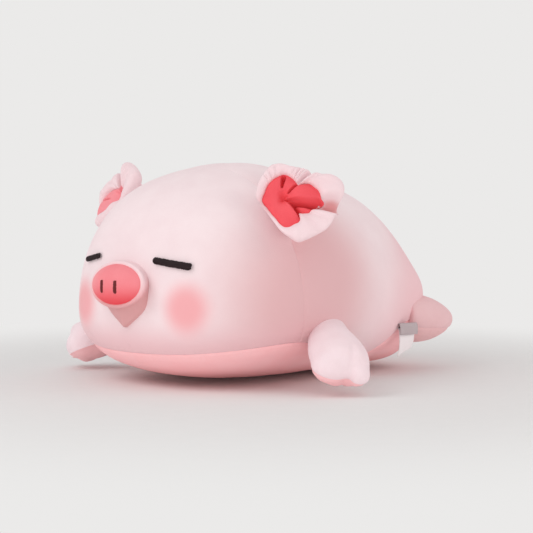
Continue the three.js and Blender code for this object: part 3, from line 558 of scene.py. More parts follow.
def cut_at(work, level):
    """Cuts the faces where the level changes sign."""
    levels = levels_of(work, level)
    value = {v: 0.0 if abs(height) < 0.05 else height for v, height in zip(work.verts, levels)}
    crossed = [e for e in work.edges if value[e.verts[0]] * value[e.verts[1]] < 0]
    line = [v for v in work.verts if value[v] == 0.0]
    for edge in crossed:
        a, b = edge.verts
        share = value[a] / (value[a] - value[b])
        line.append(bmesh.utils.edge_split(edge, a, share)[1])
    bmesh.ops.connect_verts(work, verts=line)


def piece_of(source, keep, name, material):
    """A new piece from the faces of `source` that are marked in `keep`."""
    work = bmesh.new()
    work.from_mesh(source.data)
    work.faces.ensure_lookup_table()
    bmesh.ops.delete(work, geom=[f for f, kept in zip(work.faces, keep) if not kept], context="FACES")
    mesh = bpy.data.meshes.new(name)
    work.to_mesh(mesh)
    work.free()
    shade_smooth(mesh)
    mesh.materials.append(material)
    return new_object(name, mesh)


def lumps(points, size, seed):
    """Soft unevenness, from -1 to 1, with lumps of about this size in mm."""
    offset = Vector((seed * 17.3, seed * 5.1, seed * 9.7))
    return np.array([noise.noise(Vector(p) / size + offset) for p in points.tolist()])


# %% [markdown]
# The body is stuffed with its seams held: one behind the face, one round the toy between the upper cloth
# and the belly, and one down the middle of the back. The form starts 2 mm small, because the filling
# swells it. Filling is never packed evenly, so a few wide bulges and hollows come first. They are the
# same on both sides.

# %% Stuff the body


def behind_face(points):
    """Zero at the seam behind the face, in mm."""
    return points[:, 1] - FACE_SEAM_Y


def above_belly(points):
    """Zero at the seam round the belly, in mm."""
    return points[:, 2] - belly_seam_height(points[:, 1])


def left_of_middle(points):
    """Zero at the seam down the back, in mm."""
    return points[:, 0]


START_SMALL = 2.0
HELD_WIDTH, BACK_SEAM_GIVE = 4.0, 1.5  # mm held beside a seam, and how much looser the back's seam is
# Place, spread and height of each bulge, in mm
BULGES = [((84, 118, 80), 26, 7.0), ((80, 110, 112), 25, -3.5), ((48, 62, 172), 45, 4.5),
          ((117, -86, 129), 5, -1.6), ((16, -40, 204), 45, 4.5), ((70, 104, 19), 28, 6.5)]
directions, body_quads = ball_of_quads(BODY_CELLS)
body = mesh_object("body", body_surface(directions, -START_SMALL), body_quads)
body_points = points_of(body)
for middle, spread, height in BULGES:
    away = np.linalg.norm(np.abs(body_points) * [1, 0, 0] + body_points * [0, 1, 1] - middle, axis=1)
    body_points += normals_of(body) * (height * np.exp(-(away / spread) ** 2))[:, None]
set_points(body, body_points)
above = above_belly(body_points)
nearest_seam = np.abs(above)
upper = above > -3
nearest_seam[upper] = np.minimum(nearest_seam[upper], np.abs(behind_face(body_points[upper])))
back = upper & (behind_face(body_points) > 0)
nearest_seam[back] = np.minimum(nearest_seam[back], np.abs(body_points[back, 0]) + BACK_SEAM_GIVE)
stuff(body, np.exp(-(nearest_seam / HELD_WIDTH) ** 2), pressure=4.0, cap=4.5)
subdivided(body)
print("body faces:", len(body.data.polygons))

# %% [markdown]
# A real toy is cut first and then sewn. Here the stuffed form is cut along its seams afterwards, so that
# two panels share every point of the seam between them and no gap can open. The mesh is made finer there
# first, because the groove is narrower than the body's own quads.

# %% Cut the panels
body_mesh = bmesh.new()
body_mesh.from_mesh(body.data)
for seam, reach in ((above_belly, 9), (behind_face, 9), (left_of_middle, 7)):
    refine_near(body_mesh, seam, reach, 2)
for seam in (above_belly, behind_face, left_of_middle):
    cut_at(body_mesh, seam)
body_mesh.normal_update()
body_mesh.to_mesh(body.data)
body_mesh.free()
shade_smooth(body.data)
body.data.update()
middles = face_middles(body)
is_upper = above_belly(middles) > 0
is_back = is_upper & (behind_face(middles) > 0)
is_left = middles[:, 0] > 0
print("body faces after cutting:", len(body.data.polygons))

# %% [markdown]
# The cloth dips into each seam and puckers beside it. The wide dip is what the filling can't push out,
# and the narrow one is the turned-in edge. The whole body also gets lumps under a millimetre high,
# because no filling is even, and it is pressed flat where it rests.

# %% Press the body's seams
GROOVE_WIDTH, DIP_WIDTH, PUCKER_WIDTH = 1.1, 7.0, 3.0  # mm to each side of a seam
PUCKER_PITCH, PUCKER_DRIFT = 6.5, 41  # mm along it
BELLY_PRESS = (1.0, 0.6, 0.14, 1)  # depth, dip and pucker in mm, and a seed
FACE_PRESS, BACK_PRESS = (0.6, 0.3, 0.06, 2), (0.6, 0.3, 0.06, 3)
BODY_LUMPS = ((0.8, 70, 1), (0.25, 22, 2))  # height, size and seed
LOWEST = 0.1  # mm over the floor


def seam_press(distance, along, depth, dip, pucker, seed):
    """How far the cloth goes in near a seam, in mm. `dip` is what the filling can't push out."""
    wobble = np.sin(2 * math.pi * along / PUCKER_PITCH
                    + 2.2 * np.sin(2 * math.pi * along / PUCKER_DRIFT + seed))
    return (depth * np.exp(-(distance / GROOVE_WIDTH) ** 2) + dip * np.exp(-(distance / DIP_WIDTH) ** 2)
            + pucker * wobble * np.exp(-((distance - PUCKER_WIDTH) / PUCKER_WIDTH) ** 2))


def steepness(gradient, normals):
    """How fast a level changes along the cloth, from how fast it changes in space."""
    along_normal = np.sum(gradient * normals, axis=1)
    return np.sqrt(np.maximum(np.sum(gradient ** 2, axis=1) - along_normal ** 2, 0.05))


body_points, body_normals = points_of(body), normals_of(body)
seam_slope = (belly_seam_height(body_points[:, 1] + 1) - belly_seam_height(body_points[:, 1] - 1)) / 2
zero, one = np.zeros(len(body_points)), np.ones(len(body_points))
above = above_belly(body_points)
from_belly_seam = np.abs(above) / steepness(np.stack([zero, -seam_slope, one], axis=1), body_normals)
from_face_seam = (np.abs(behind_face(body_points))
                  / steepness(np.stack([zero, one, zero], axis=1), body_normals))
from_back_seam = np.abs(body_points[:, 0]) / steepness(np.stack([one, zero, zero], axis=1), body_normals)
round_middle = np.arctan2(body_points[:, 2] - WIDEST_HEIGHT, body_points[:, 0]) * HALF_WIDTH
round_plan = np.arctan2(body_points[:, 1], body_points[:, 0]) * FRONT_REACH
upper_share = np.clip((above + 1.0) / 2.0, 0, 1)
back_share = upper_share * (body_points[:, 1] > FACE_SEAM_Y - 0.2)
press = seam_press(from_belly_seam, round_plan, *BELLY_PRESS)
press = np.maximum(press, upper_share * seam_press(from_face_seam, round_middle, *FACE_PRESS))
press = np.maximum(press, back_share * seam_press(from_back_seam, body_points[:, 1], *BACK_PRESS))
press -= sum(height * lumps(body_points, size, seed) for height, size, seed in BODY_LUMPS)
body_points -= body_normals * press[:, None]
body_points[:, 2] = np.maximum(body_points[:, 2], LOWEST)
set_points(body, body_points)
print("deepest press, mm:", round(float(press.max()), 2))

# %% [markdown]
# The blush on each cheek is dye sprayed on the pile: strongest in the middle, gone after 34 mm, with no
# edge. It is mixed into the face's colour by the distance from the middle of each cheek.

# %% Blush
BLUSH = 0xF2A4A8
BLUSH_MIDDLE = (70, -178.5, 74.5)
blushes = [tint_round(BLUSH, (side * BLUSH_MIDDLE[0], *BLUSH_MIDDLE[1:]), 6, 34, 0.85)
           for side in SIDES.values()]
print("blushes:", len(blushes))

# %% [markdown]
# Shade is painted into the left side beside the seam behind the face: a deeper pink on both sides of the seam
# that fades out over a hand's width. Lower down and to the rear the cloth has painted shade too, a pinker
# tone. Each plush below has the shade of its pile, the shade where the nap lies away, and its tints.

# %% Plush colours
UP = (0, 0, 1)
DOWN_BEHIND = (0, 0.8, -0.6)
TO_RIGHT = (-1, 0, 0)
SEAM_SHADE_PINK = 0xDFAEB0
# Painted shade beside the seam behind the face, on the left side only
face_painted_shade = tint_round(SEAM_SHADE_PINK, (127, -86, 72), 18, 130, 0.85)
back_painted_shade = tint_round(SEAM_SHADE_PINK, (128, -80, 100), 30, 142, 0.85)
# Painted shade: the face gets pinker lower down, and the back lower down and towards the rear
face_plush = velvet_plush("face_plush_off_white", 0xF6E5E7, 0xF0DBDE, face_painted_shade,
                          tint_along(0xE8BCC0, UP, 72, 34, 0.8), *blushes)
back_plush = velvet_plush("back_plush_pale_pink", 0xF6E5E7, 0xF0DBDE, back_painted_shade,
                          tint_along(0xF1C6CA, DOWN_BEHIND, -60, 45, 0.9))
# Painted shade: the belly turns a deeper red low down, at its underside
belly_plush = velvet_plush("belly_plush_warm_pink", 0xFFCDCF, 0xFFC0C2, tint_along(0xDC7672, UP, 24, 4, 0.5))
limb_plush = velvet_plush("limb_plush_near_white", 0xF6E4E8, 0xF1D9DD)
# The lining throws its coral light into the slit of the left ear's rim
slit_shade = tint_round(0xE29E9E, (145, -74, 161), 3, 13, 0.85)
ear_plush = velvet_plush("ear_plush_near_white", 0xF5DFE2, 0xF0D2D6, slit_shade)
foot_plush = velvet_plush("foot_plush_pale_pink", 0xEDC7C9, 0xE7BDBF)
foot_sole_plush = velvet_plush("foot_sole_plush_pink", 0xEDC3C4, 0xE7B9BA)
sole_plush = velvet_plush("sole_plush_warm_pink", 0xFBCBCD, 0xF7C1C3)
# Painted light: the lining and the snout are paler towards the right, where the lamps fall, and the snout has
# painted shade, redder low down
coral_plush = velvet_plush("lining_plush_coral", 0xF6626A, 0xEC5059, tint_along(0xF79AA1, TO_RIGHT, 60, 90))
snout_plush = velvet_plush("snout_plush_coral_pink", 0xF59298, 0xF2828A,
                           tint_along(0xF7A8AC, TO_RIGHT, 2, 34, 0.8), tint_along(0xEC4650, UP, 101, 71))
# Painted shade: the sleeve is pinker below the disc and darker where it meets the face
sleeve_plush = velvet_plush("sleeve_plush_pink", 0xF6DCDF, 0xF1D1D4, tint_along(0xF0A8AB, UP, 108, 72, 0.85),
                            tint_along(0xD8A2A2, DOWN_BEHIND, -213, -199, 0.95))
print("plush finishes:", len([m for m in bpy.data.materials if "_plush_" in m.name]))

# %% [markdown]
# Each cloth panel is now its own piece. It stands for the CAD panel of the same place and rides on the
# same body.

# %% Panels of the body


def dress(thing, body_name, nodes, blend=None):
    """Says what a piece stands for, and what it moves with unless `blend` is given."""
    if blend:
        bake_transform(thing)
    else:
        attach(thing, body_name)
    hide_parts(*nodes)
    return thing


for name, keep, material, node, slot in (
    ("face_cloth", is_upper & ~is_back, face_plush, "face_panel", "plush_face"),
    ("back_cloth_left", is_back & is_left, back_plush, "back_panel_left", "plush_back"),
    ("back_cloth_right", is_back & ~is_left, back_plush, "back_panel_right", "plush_back"),
    ("belly_cloth", ~is_upper, belly_plush, "belly_panel", "plush_belly"),
):
    panel = dress(piece_of(body, keep, name, material), "torso", [node])
    print(name, len(panel.data.polygons), "faces")
bpy.data.objects.remove(body)

# %% [markdown]
# A limb has its own frame: along the limb, across it, and up. The same sizes serve both sides, with x
# mirrored. The frame also keeps two places near the limb's root.

# %% Frames and lofts for the limbs
LIMB_SIDES, LIMB_RINGS, LIMB_FILL = 28, 14, 0.8
LIMB_PRESS = (0.7, 0.6, 0.1, 4)  # as for the body
LIMB_LUMPS = (0.35, 24, 5)
SKIN_VOXEL, SKIN_SOFTENING = 2.6, 10  # mm, and how many times


class LimbFrame:
    """Turns limb places (along, across, up), in mm, into places on the toy. The limb's rear side hangs by its
    roll."""

    def __init__(self, side, root, bend, heading, slope, roll=0):
        turn, down, roll = math.radians(heading), math.radians(slope), math.radians(roll)
        self.along = np.array([math.cos(turn) * math.cos(down), math.sin(turn) * math.cos(down),
                               -math.sin(down)])
        level = np.array([-math.sin(turn), math.cos(turn), 0.0])
        upright = np.cross(self.along, level)
        self.across = level * math.cos(roll) - upright * math.sin(roll)
        self.up = upright * math.cos(roll) + level * math.sin(roll)
        self.root, self.mirror = np.array(root, float), np.array([side, 1, 1])
        self.bend = [place * MM for place in self.place(bend)]

    def place(self, points):
        """Limb places as places on the toy."""
        points = np.asarray(points, float)
        return (self.root + points @ np.stack([self.along, self.across, self.up])) * self.mirror

    def local(self, points):
        """Places on the toy as limb places."""
        return (np.asarray(points) * self.mirror - self.root) @ np.stack([self.along, self.across, self.up]).T


def loft(profile, half_width, half_thickness):
    """A closed tube through rings. `profile` is a list of (along, share of the full section)."""
    turns = np.linspace(0, 2 * math.pi, LIMB_SIDES, endpoint=False)
    rings = [np.stack([np.full(LIMB_SIDES, along), half_width * share * np.cos(turns),
                       half_thickness * share * np.sin(turns)], axis=1) for along, share in profile]
    points = np.concatenate([[[profile[0][0], 0, 0]], *rings, [[profile[-1][0], 0, 0]]])
    faces = []
    for i in range(LIMB_SIDES):
        j = (i + 1) % LIMB_SIDES
        faces.append([0, 1 + j, 1 + i])
        for ring in range(len(rings) - 1):
            near, far = 1 + ring * LIMB_SIDES, 1 + (ring + 1) * LIMB_SIDES
            faces.append([near + i, near + j, far + j, far + i])
        last = 1 + (len(rings) - 1) * LIMB_SIDES
        faces.append([last + i, last + j, len(points) - 1])
    return points, faces


def melted(name, parts):
    """One closed form from several that overlap, with soft hollows where they meet."""
    points, faces = [], []
    for part_points, part_faces in parts:
        start = sum(len(p) for p in points)
        points.append(part_points)
        faces += [[start + i for i in face] for face in part_faces]
    thing = mesh_object(name, np.concatenate(points), faces)
    remesh = thing.modifiers.new("one_skin", "REMESH")
    remesh.mode, remesh.voxel_size = "VOXEL", SKIN_VOXEL * MM
    smooth = thing.modifiers.new("soft", "SMOOTH")
    smooth.iterations, smooth.factor = SKIN_SOFTENING, 0.6
    bpy.context.view_layer.update()
    return settle_modifiers(thing)


def rounded_profile(shares, length):
    """Evenly spaced rings through a given profile of (share of the length, share of the section)."""
    at, size = np.array(shares).T
    return [(t * length, max(smooth_through(at, size, t), 0.02)) for t in np.linspace(0, 1, LIMB_RINGS)]


print("rings of a limb:", LIMB_RINGS)

# %% [markdown]
# A front paw swells towards its end and splits into a large and a small toe. It is one tube and two
# ovals, melted into one skin, stuffed with its sole seam and its cleft held, and then cut along the sole
# seam.

# %% Sizes of the front paws
PAW_LENGTH, PAW_HALF_WIDTH, PAW_HALF_THICKNESS = 92, 27.8, 22.5
PAW_PROFILE = [(0, 0.72), (0.25, 0.78), (0.5, 0.93), (0.7, 1.0), (0.85, 0.94), (0.95, 0.74), (1, 0.2)]
TOES = [((79, -10.5, -2.6), (19, 18.5, 16)), ((86, 13.5, -3), (13.5, 12.5, 12))]  # middle and half sizes
PAW_SEAM_UP, PAW_SEAM_FROM = -9, 30
CLEFT_ACROSS = 4.5
CLEFT_START = 73  # along the paw, where the stitch that parts the toes begins
PAW_BEND = [[20, 0, 8], [44, 0, 2]]  # two places near the root, in the paw's frame
paw_root_x = float(half_width_at(-44, 52.5))
PAW_ROOTS = {"left": (paw_root_x - 17.2, -44, 52.5), "right": (paw_root_x - 14.2, -47.4, 52.5)}
PAW_TURNS = {"left": (-37, 19, 12), "right": (-50, 19, 12)}  # heading, slope and roll
PAWS = {name: LimbFrame(SIDES[name], PAW_ROOTS[name], PAW_BEND, *PAW_TURNS[name]) for name in SIDES}
print("the paws' roots, mm out:", [round(root[0], 1) for root in PAW_ROOTS.values()])

# %% [markdown]
# Every limb is made in three steps. The filling swells it while its seams hold, its seams are pressed
# in, and it is parted along the sole seam into the cloth above and the cloth below.

# %% Stuff, press and part a limb


def stuffed_limb(name, limb, parts, seam_up, seam_from, cleft=None):
    """A stuffed limb, whose sole seam starts at `seam_from` along it. `cleft` holds the toes' stitch."""
    form = melted(name, parts)
    local = points_of(form)
    held = np.exp(-((local[:, 2] - seam_up) / 2.5) ** 2) * (local[:, 0] > seam_from)
    held = np.maximum(held, np.clip((seam_from - local[:, 0]) / 10, 0, 1))
    if cleft:
        held = np.maximum(held, cleft(local))
    set_points(form, limb.place(local))
    stuff(form, held, pressure=6.0, cap=2.5)
    return subdivided(form)


def press_limb(form, limb, seam_up, cleft=None):
    """Presses the sole seam and the cleft into a limb, and returns which faces lie above the seam."""
    work = bmesh.new()
    work.from_mesh(form.data)
    cut_at(work, lambda points: limb.local(points)[:, 2] - seam_up)
    work.to_mesh(form.data)
    work.free()
    shade_smooth(form.data)
    form.data.update()
    is_top = limb.local(face_middles(form))[:, 2] > seam_up
    points, normals = points_of(form), normals_of(form)
    local = limb.local(points)
    turn = np.arctan2(local[:, 1], local[:, 0] - 40) * 30
    height, size, seed = LIMB_LUMPS
    press = seam_press(np.abs(local[:, 2] - seam_up), turn, *LIMB_PRESS) - height * lumps(points, size, seed)
    if cleft:
        press = press + cleft(local)
    set_points(form, points - normals * press[:, None])
    return is_top


def part_limb(form, is_top, limb, body_name, top_look, sole_look):
    """Parts a limb into the cloth above and below its seam. Each look is a finish and a slot, and the slot is
    not used.
    """
    for part, keep, (material, slot) in (("top", is_top, top_look), ("sole", ~is_top, sole_look)):
        piece = piece_of(form, keep, f"{form.name}_{part}_cloth", material)
        dress(piece, body_name, [f"{form.name}_{part}"], limb.bend)
        print(piece.name, len(piece.data.polygons), "faces")
    bpy.data.objects.remove(form)


def toe_cleft(depth):
    """The stitch that parts the toes: it starts on top of the paw and widens to its tip."""
    def at(local):
        along = np.clip((local[:, 0] - CLEFT_START) / 9, 0, 1)
        line = np.exp(-((local[:, 1] - CLEFT_ACROSS) / (1.2 + 2.2 * along)) ** 2)
        return depth * line * along ** 0.5
    return at


ball, quads = ball_of_quads(SMALL_CELLS)
print("quads in a toe:", len(quads))

# %% [markdown]
# Both paws have the same sizes. Only their roots and turns differ: the right one reaches further forward.

# %% Make the front paws
for side_name, paw in PAWS.items():
    parts = [loft(rounded_profile(PAW_PROFILE, PAW_LENGTH), PAW_HALF_WIDTH - 1, PAW_HALF_THICKNESS - 1)]
    parts += [(ball * (np.array(half_sizes) - 1) + middle, quads) for middle, half_sizes in TOES]
    form = stuffed_limb(f"paw_{side_name}", paw, parts, PAW_SEAM_UP, PAW_SEAM_FROM, toe_cleft(0.9))
    is_top = press_limb(form, paw, PAW_SEAM_UP, toe_cleft(1.8))
    part_limb(form, is_top, paw, f"front_paw_{side_name}", (limb_plush, "plush_limb"),
              (sole_plush, "plush_sole"))

# %% [markdown]
# A hind foot is a smooth rounded wedge that points back. It is made as the paws are, with no toes.

# %% Hind feet
FOOT_LENGTH, FOOT_HALF_WIDTH, FOOT_HALF_THICKNESS = 73, 29.5, 25.3
FOOT_PROFILE = [(0, 1.0), (0.35, 1.0), (0.55, 0.91), (0.72, 0.73), (0.86, 0.53), (0.96, 0.29), (1, 0.08)]
FOOT_SEAM_UP, FOOT_SEAM_FROM = -8.9, 18
FOOT_BEND = [[22, 0, 10], [46, 0, 2]]
FOOT_ROOT = (float(half_width_at(100, 53)) - 20.1, 100, 53)
FOOT_TURNS = (79, 4)  # heading and slope
FEET = {name: LimbFrame(side, FOOT_ROOT, FOOT_BEND, *FOOT_TURNS) for name, side in SIDES.items()}
for side_name, foot in FEET.items():
    parts = [loft(rounded_profile(FOOT_PROFILE, FOOT_LENGTH), FOOT_HALF_WIDTH - 1, FOOT_HALF_THICKNESS - 1)]
    form = stuffed_limb(f"foot_{side_name}", foot, parts, FOOT_SEAM_UP, FOOT_SEAM_FROM)
    is_top = press_limb(form, foot, FOOT_SEAM_UP)
    part_limb(form, is_top, foot, f"rear_foot_{side_name}", (foot_plush, "plush_back"),
              (foot_sole_plush, "plush_sole"))

# %% [markdown]
# The snout is a short sleeve of face cloth with a domed disc in its end. The sleeve's edge rolls over the
# disc as a soft pale rim, and below the disc the sleeve is drawn to a point, with a seam down its middle.
# Rings of points that run from the face to the rim and over the dome carry all of that.

# %% Sizes of the snout
SNOUT_MIDDLE = np.array([0, -184, 92.5])
SNOUT_TILT = math.radians(8)
SNOUT_LENGTH, SNOUT_DOME = 13, 13.5
RIM = (36.4, 21.3)
ROOT = (28.8, 23)
RIM_ROLL = 2.2  # radius of the soft edge
CHIN_DROP, CHIN_SPREAD, CHIN_CORNER = 14, 59, 14
SNOUT_SIDES, WALL_RINGS, EDGE_RINGS, DISC_RINGS = 120, 22, 18, 30
snout_turn = np.linspace(0, 2 * math.pi, SNOUT_SIDES, endpoint=False)


def snout_outline(half_width, half_height, chin=0.0):
    """An oval, flat, in mm. As `chin` goes to 1, straight lines draw its lower half to a point."""
    across, up = np.cos(snout_turn), np.sin(snout_turn)
    low = np.where(up < 0, chin, 0.0)
    oval = np.hypot(across / half_width, up / (half_height * (1 + low)))
    drawn = low * chin * (np.abs(across) / CHIN_SPREAD - up / (ROOT[1] + CHIN_DROP))
    distance = (oval ** CHIN_CORNER + np.maximum(drawn, 0) ** CHIN_CORNER) ** (-1 / CHIN_CORNER)
    return np.stack([distance * across, distance * up], axis=1)


def place_snout(flat, forward):
    """Puts an outline `forward` mm out from the face."""
    forward = np.broadcast_to(forward, len(flat))
    y, z = -forward, flat[:, 1]
    cos, sin = math.cos(-SNOUT_TILT), math.sin(-SNOUT_TILT)
    return np.stack([flat[:, 0], y * cos - z * sin, y * sin + z * cos], axis=1) + SNOUT_MIDDLE


def skin_over(rings, close_end=False):
    """Quads over rings of equal length, with an end point if asked."""
    sides, points, faces = len(rings[0]), np.concatenate(rings), []
    for ring in range(len(rings) - 1):
        for i in range(sides):
            j = (i + 1) % sides
            near, far = ring * sides, (ring + 1) * sides
            faces.append([near + i, near + j, far + j, far + i])
    if close_end:
        points = np.concatenate([points, [rings[-1].mean(axis=0)]])
        last = (len(rings) - 1) * sides
        faces += [[last + i, last + (i + 1) % sides, len(points) - 1] for i in range(sides)]
    return points, faces


print("points in a ring of the snout:", SNOUT_SIDES)

# %% [markdown]
# The sleeve is a tube of cloth, sewn to the face at one end. Its rings go from the drawn outline at the
# face to the oval at the rim, and then round the soft edge, which puckers a little where it is sewn to
# the disc.

# %% Snout sleeve
roll_middle = SNOUT_LENGTH - RIM_ROLL
wall_end = roll_middle - 0.9 * RIM_ROLL
at_face = snout_outline(*ROOT, chin=1.0)
at_rim = snout_outline(RIM[0] - 0.6 * RIM_ROLL, RIM[1] - 0.6 * RIM_ROLL)
sleeve_rings = [place_snout(at_face, -8)]
for share in np.linspace(0, 1, WALL_RINGS):
    sleeve_rings.append(place_snout(at_face * (1 - share) + at_rim * share, -1 + (wall_end + 1) * share))
roll_puckers = 1 + 0.05 * np.sin(snout_turn * 31) * np.sin(snout_turn * 5 + 1)
for turn in np.radians(np.linspace(-60, 165, EDGE_RINGS)):
    outward = RIM_ROLL * math.cos(turn)
    outline = snout_outline(RIM[0] - RIM_ROLL + outward, RIM[1] - RIM_ROLL + outward)
    sleeve_rings.append(place_snout(outline, roll_middle + RIM_ROLL * math.sin(turn) * roll_puckers))
sleeve = mesh_object("snout_sleeve_cloth", *skin_over(sleeve_rings), sleeve_plush)
dress(sleeve, "torso", ["snout_sleeve"])
print("sleeve faces:", len(sleeve.data.polygons))

# %% [markdown]
# The disc is a stuffed dome. One rule says how far out it stands at each place, with a dent under each
# nostril, and the nostrils use the same rule later, so they lie on the cloth.

# %% Snout disc
DISC = (RIM[0] - 1.15 * RIM_ROLL, RIM[1] - 1.15 * RIM_ROLL)
NOSTRIL_OUT, NOSTRIL_SHIFT, NOSTRIL_UP = 9, 0.5, -2.8  # mm from the snout's middle


def disc_forward(x, z):
    """How far out the domed disc stands, with a dent where each nostril is stitched."""
    share = np.minimum(np.hypot(x / DISC[0], z / DISC[1]), 1)
    dents = sum(1.1 * np.exp(-((x - side * NOSTRIL_OUT - NOSTRIL_SHIFT) / 3.4) ** 2
                             - ((z - NOSTRIL_UP) / 7.5) ** 2) for side in (-1, 1))
    return roll_middle - 1.0 + SNOUT_DOME * (1 - share ** 2.3) ** 0.6 - dents


disc_rings = []
for size in np.sin(np.radians(np.linspace(90, 2, DISC_RINGS))):
    outline = snout_outline(DISC[0] * size, DISC[1] * size)
    disc_rings.append(place_snout(outline, disc_forward(outline[:, 0], outline[:, 1])))
disc = mesh_object("snout_disc_cloth", *skin_over(disc_rings, close_end=True), snout_plush)
dress(disc, "torso", ["snout_disc"])
print("disc faces:", len(disc.data.polygons))

# %% [markdown]
# Eyes and nostrils are satin stitch: rayon thread laid side by side across a bar, drawn a little over
# half a millimetre wide. The bar is raised, each thread is a ridge that catches the light, and no two
# threads end at quite the same place.

# %% Satin stitch
THREAD_WIDTH = 0.55
STRAND = 0.6 * MM
THREAD_RIBS, THREAD_STATIONS = 5, 9  # points across a thread and along it
LOOSE_END = 0.25  # mm that a thread may end early or late
SUNK = 0.25  # mm that the bar's edge goes into the cloth


def tufted(name, roughness, size, detail, shade, other_shade):
    """A material of strands or tufts of about `size`, which waver between two shades."""
    material, tree, shader = new_material(name, roughness)
    place = add_node(tree, "ShaderNodeTexCoord").outputs["Object"]
    strands = add_node(tree, "ShaderNodeTexNoise", Vector=place, Scale=1 / size, Detail=detail)
    tone = add_node(tree, "ShaderNodeMix", {"data_type": "RGBA"}, Factor=strands.outputs["Fac"],
                    A=linear(shade), B=linear(other_shade))
    tree.links.new(tone.outputs["Result"], shader.inputs["Base Color"])
    return material, shader


def satin_thread(name, shade, light_shade):
    """Rayon embroidery thread: dark, with a soft gloss that shows each thread's ridge."""
    material, shader = tufted(name, 0.55, STRAND, 1.0, shade, light_shade)
    shader.inputs["Specular IOR Level"].default_value = 0.2
    return material


def stitched_bar(name, length, width, height, surface, material):
    """A raised bar of threads. `surface` gives the point and normal of the cloth at (along, across)."""
    count, ribs, stations = int(length / THREAD_WIDTH), THREAD_RIBS, THREAD_STATIONS
    jitter = np.random.default_rng(7).uniform(-LOOSE_END, LOOSE_END, (count, 2))
    thread, rib, station = np.meshgrid(np.arange(count), np.arange(ribs), np.linspace(-1, 1, stations),
                                       indexing="ij")
    along = -length / 2 + (thread + (rib + 0.5) / ribs) * THREAD_WIDTH
    past = np.maximum(0, (np.abs(along) - length / 2 + width / 2) / (width / 2))
    end = np.sqrt(np.maximum(0.05, 1 - past ** 2))
    ridge = 0.16 * np.sin(math.pi * (rib + 0.5) / ribs)
    across = station * (width / 2 * end + jitter[thread, (station > 0).astype(int)] * np.abs(station))
    rise = height * end * np.sqrt(1 - station ** 2) + ridge * (1 - station ** 4) - SUNK
    base, normal = surface(along.ravel(), across.ravel())
    faces = []
    for row in range(count * ribs - 1):
        for corner in range(row * stations, row * stations + stations - 1):
            faces.append([corner, corner + 1, corner + stations + 1, corner + stations])
    return mesh_object(name, base + normal * rise.ravel()[:, None], faces, material)


def unit(vectors):
    """The same directions, one millimetre long."""
    return vectors / np.linalg.norm(vectors, axis=1)[:, None]


print("threads to the centimetre:", round(10 / THREAD_WIDTH))

# %% [markdown]
# Both eyes are closed, each a straight bar that droops to the outside. The far one is drawn shorter, as
# it looks in the photograph. A bar lies on the cloth of the face, so the form of the face is worked out
# again at each thread.

# %% Eyes
eye_thread = satin_thread("eye_rayon_dark_brown", 0x1B0F11, 0x2E1D20)
# Middle x and z, length, droop in degrees, width
EYES = {"left": (54.2, 113.6, 41, 7.5, 6.2), "right": (54, 116.8, 28.5, 9, 5.2)}
EYE_HEIGHT = 1.5


def face_front(x, z):
    """The foremost cloth at this place on the face, which lies ahead of where the body tapers."""
    section = (np.abs(x / HALF_WIDTH) ** BACK_POWER
               + np.abs((z - WIDEST_HEIGHT) / (HEIGHT - WIDEST_HEIGHT)) ** BACK_POWER)
    return -FRONT_REACH * (1 - section ** (FACE_POWER / BACK_POWER)) ** (1 / FACE_POWER)


def on_face(x, z):
    """The point and the normal of the face's cloth at these places."""
    to_left = (face_front(x + 1, z) - face_front(x - 1, z)) / 2
    upward = (face_front(x, z + 1) - face_front(x, z - 1)) / 2
    normal = unit(np.stack([to_left, -np.ones(len(x)), upward], axis=1))
    return np.stack([x, face_front(x, z), z], axis=1), normal


for side_name, side in SIDES.items():
    eye_x, eye_z, eye_length, droop, eye_width = EYES[side_name]

    def eye_surface(along, across):
        """The face's cloth under this eye's bar."""
        tilt = math.radians(droop)
        x = eye_x + along * math.cos(tilt) + across * math.sin(tilt)
        z = eye_z - along * math.sin(tilt) + across * math.cos(tilt)
        return on_face(side * x, z)
    eye = stitched_bar(f"eye_{side_name}_stitch", eye_length, eye_width, EYE_HEIGHT, eye_surface, eye_thread)
    dress(eye, "torso", [f"eye_{side_name}"])
    print(eye.name, len(eye.data.polygons), "faces")

# %% [markdown]
# The nostrils are two short upright bars of dark red thread in the dents of the disc. They draw the cloth
# in, and the bar fills the bottom of the dent.

# %% Nostrils
nostril_thread = satin_thread("nostril_rayon_maroon", 0x5A1E20, 0x742C2B)
NOSTRIL_LENGTH, NOSTRIL_WIDTH, NOSTRIL_HEIGHT = 12.0, 4.4, 1.1
for side_name, side in SIDES.items():
    def nostril_surface(along, across):
        """The disc's cloth under this nostril's bar."""
        x, z = side * NOSTRIL_OUT + NOSTRIL_SHIFT + across, NOSTRIL_UP + along
        to_left, upward = ((disc_forward(x + dx, z + dz) - disc_forward(x - dx, z - dz)) / 2
                           for dx, dz in ((1, 0), (0, 1)))
        normal = np.stack([-to_left, -np.ones(len(x)), -upward + math.sin(SNOUT_TILT)], axis=1)
        return place_snout(np.stack([x, z], axis=1), disc_forward(x, z)), unit(normal)
    nostril = stitched_bar(f"nostril_{side_name}_stitch", NOSTRIL_LENGTH, NOSTRIL_WIDTH, NOSTRIL_HEIGHT,
                           nostril_surface, nostril_thread)
    dress(nostril, "torso", [f"nostril_{side_name}"])
    print(nostril.name, len(nostril.data.polygons), "faces")

# %% [markdown]
# Each ear is a flat pouch with a coral lining, gathered by one stitch near its middle. The gather throws
# the lining into petals with deep folds between them, and the pale outer cloth puffs into a fat rim round
# it, cut by the deepest fold. Everything is measured round the stitch: a turn in degrees, up from
# straight out, and a reach in mm. `rim` and `lining` are the reach to their edges. `petals` has the reach
# and height of each petal's crest and the height of its edge, and `crest_share` is the furthest that a
# crest may lie towards the edge. `folds` has a fold's turn at the stitch and at the edge, where it starts
# as a share of the way, its half widths, and its depth. `notches` cut into the rim, and `wrinkles` only
# crease it.

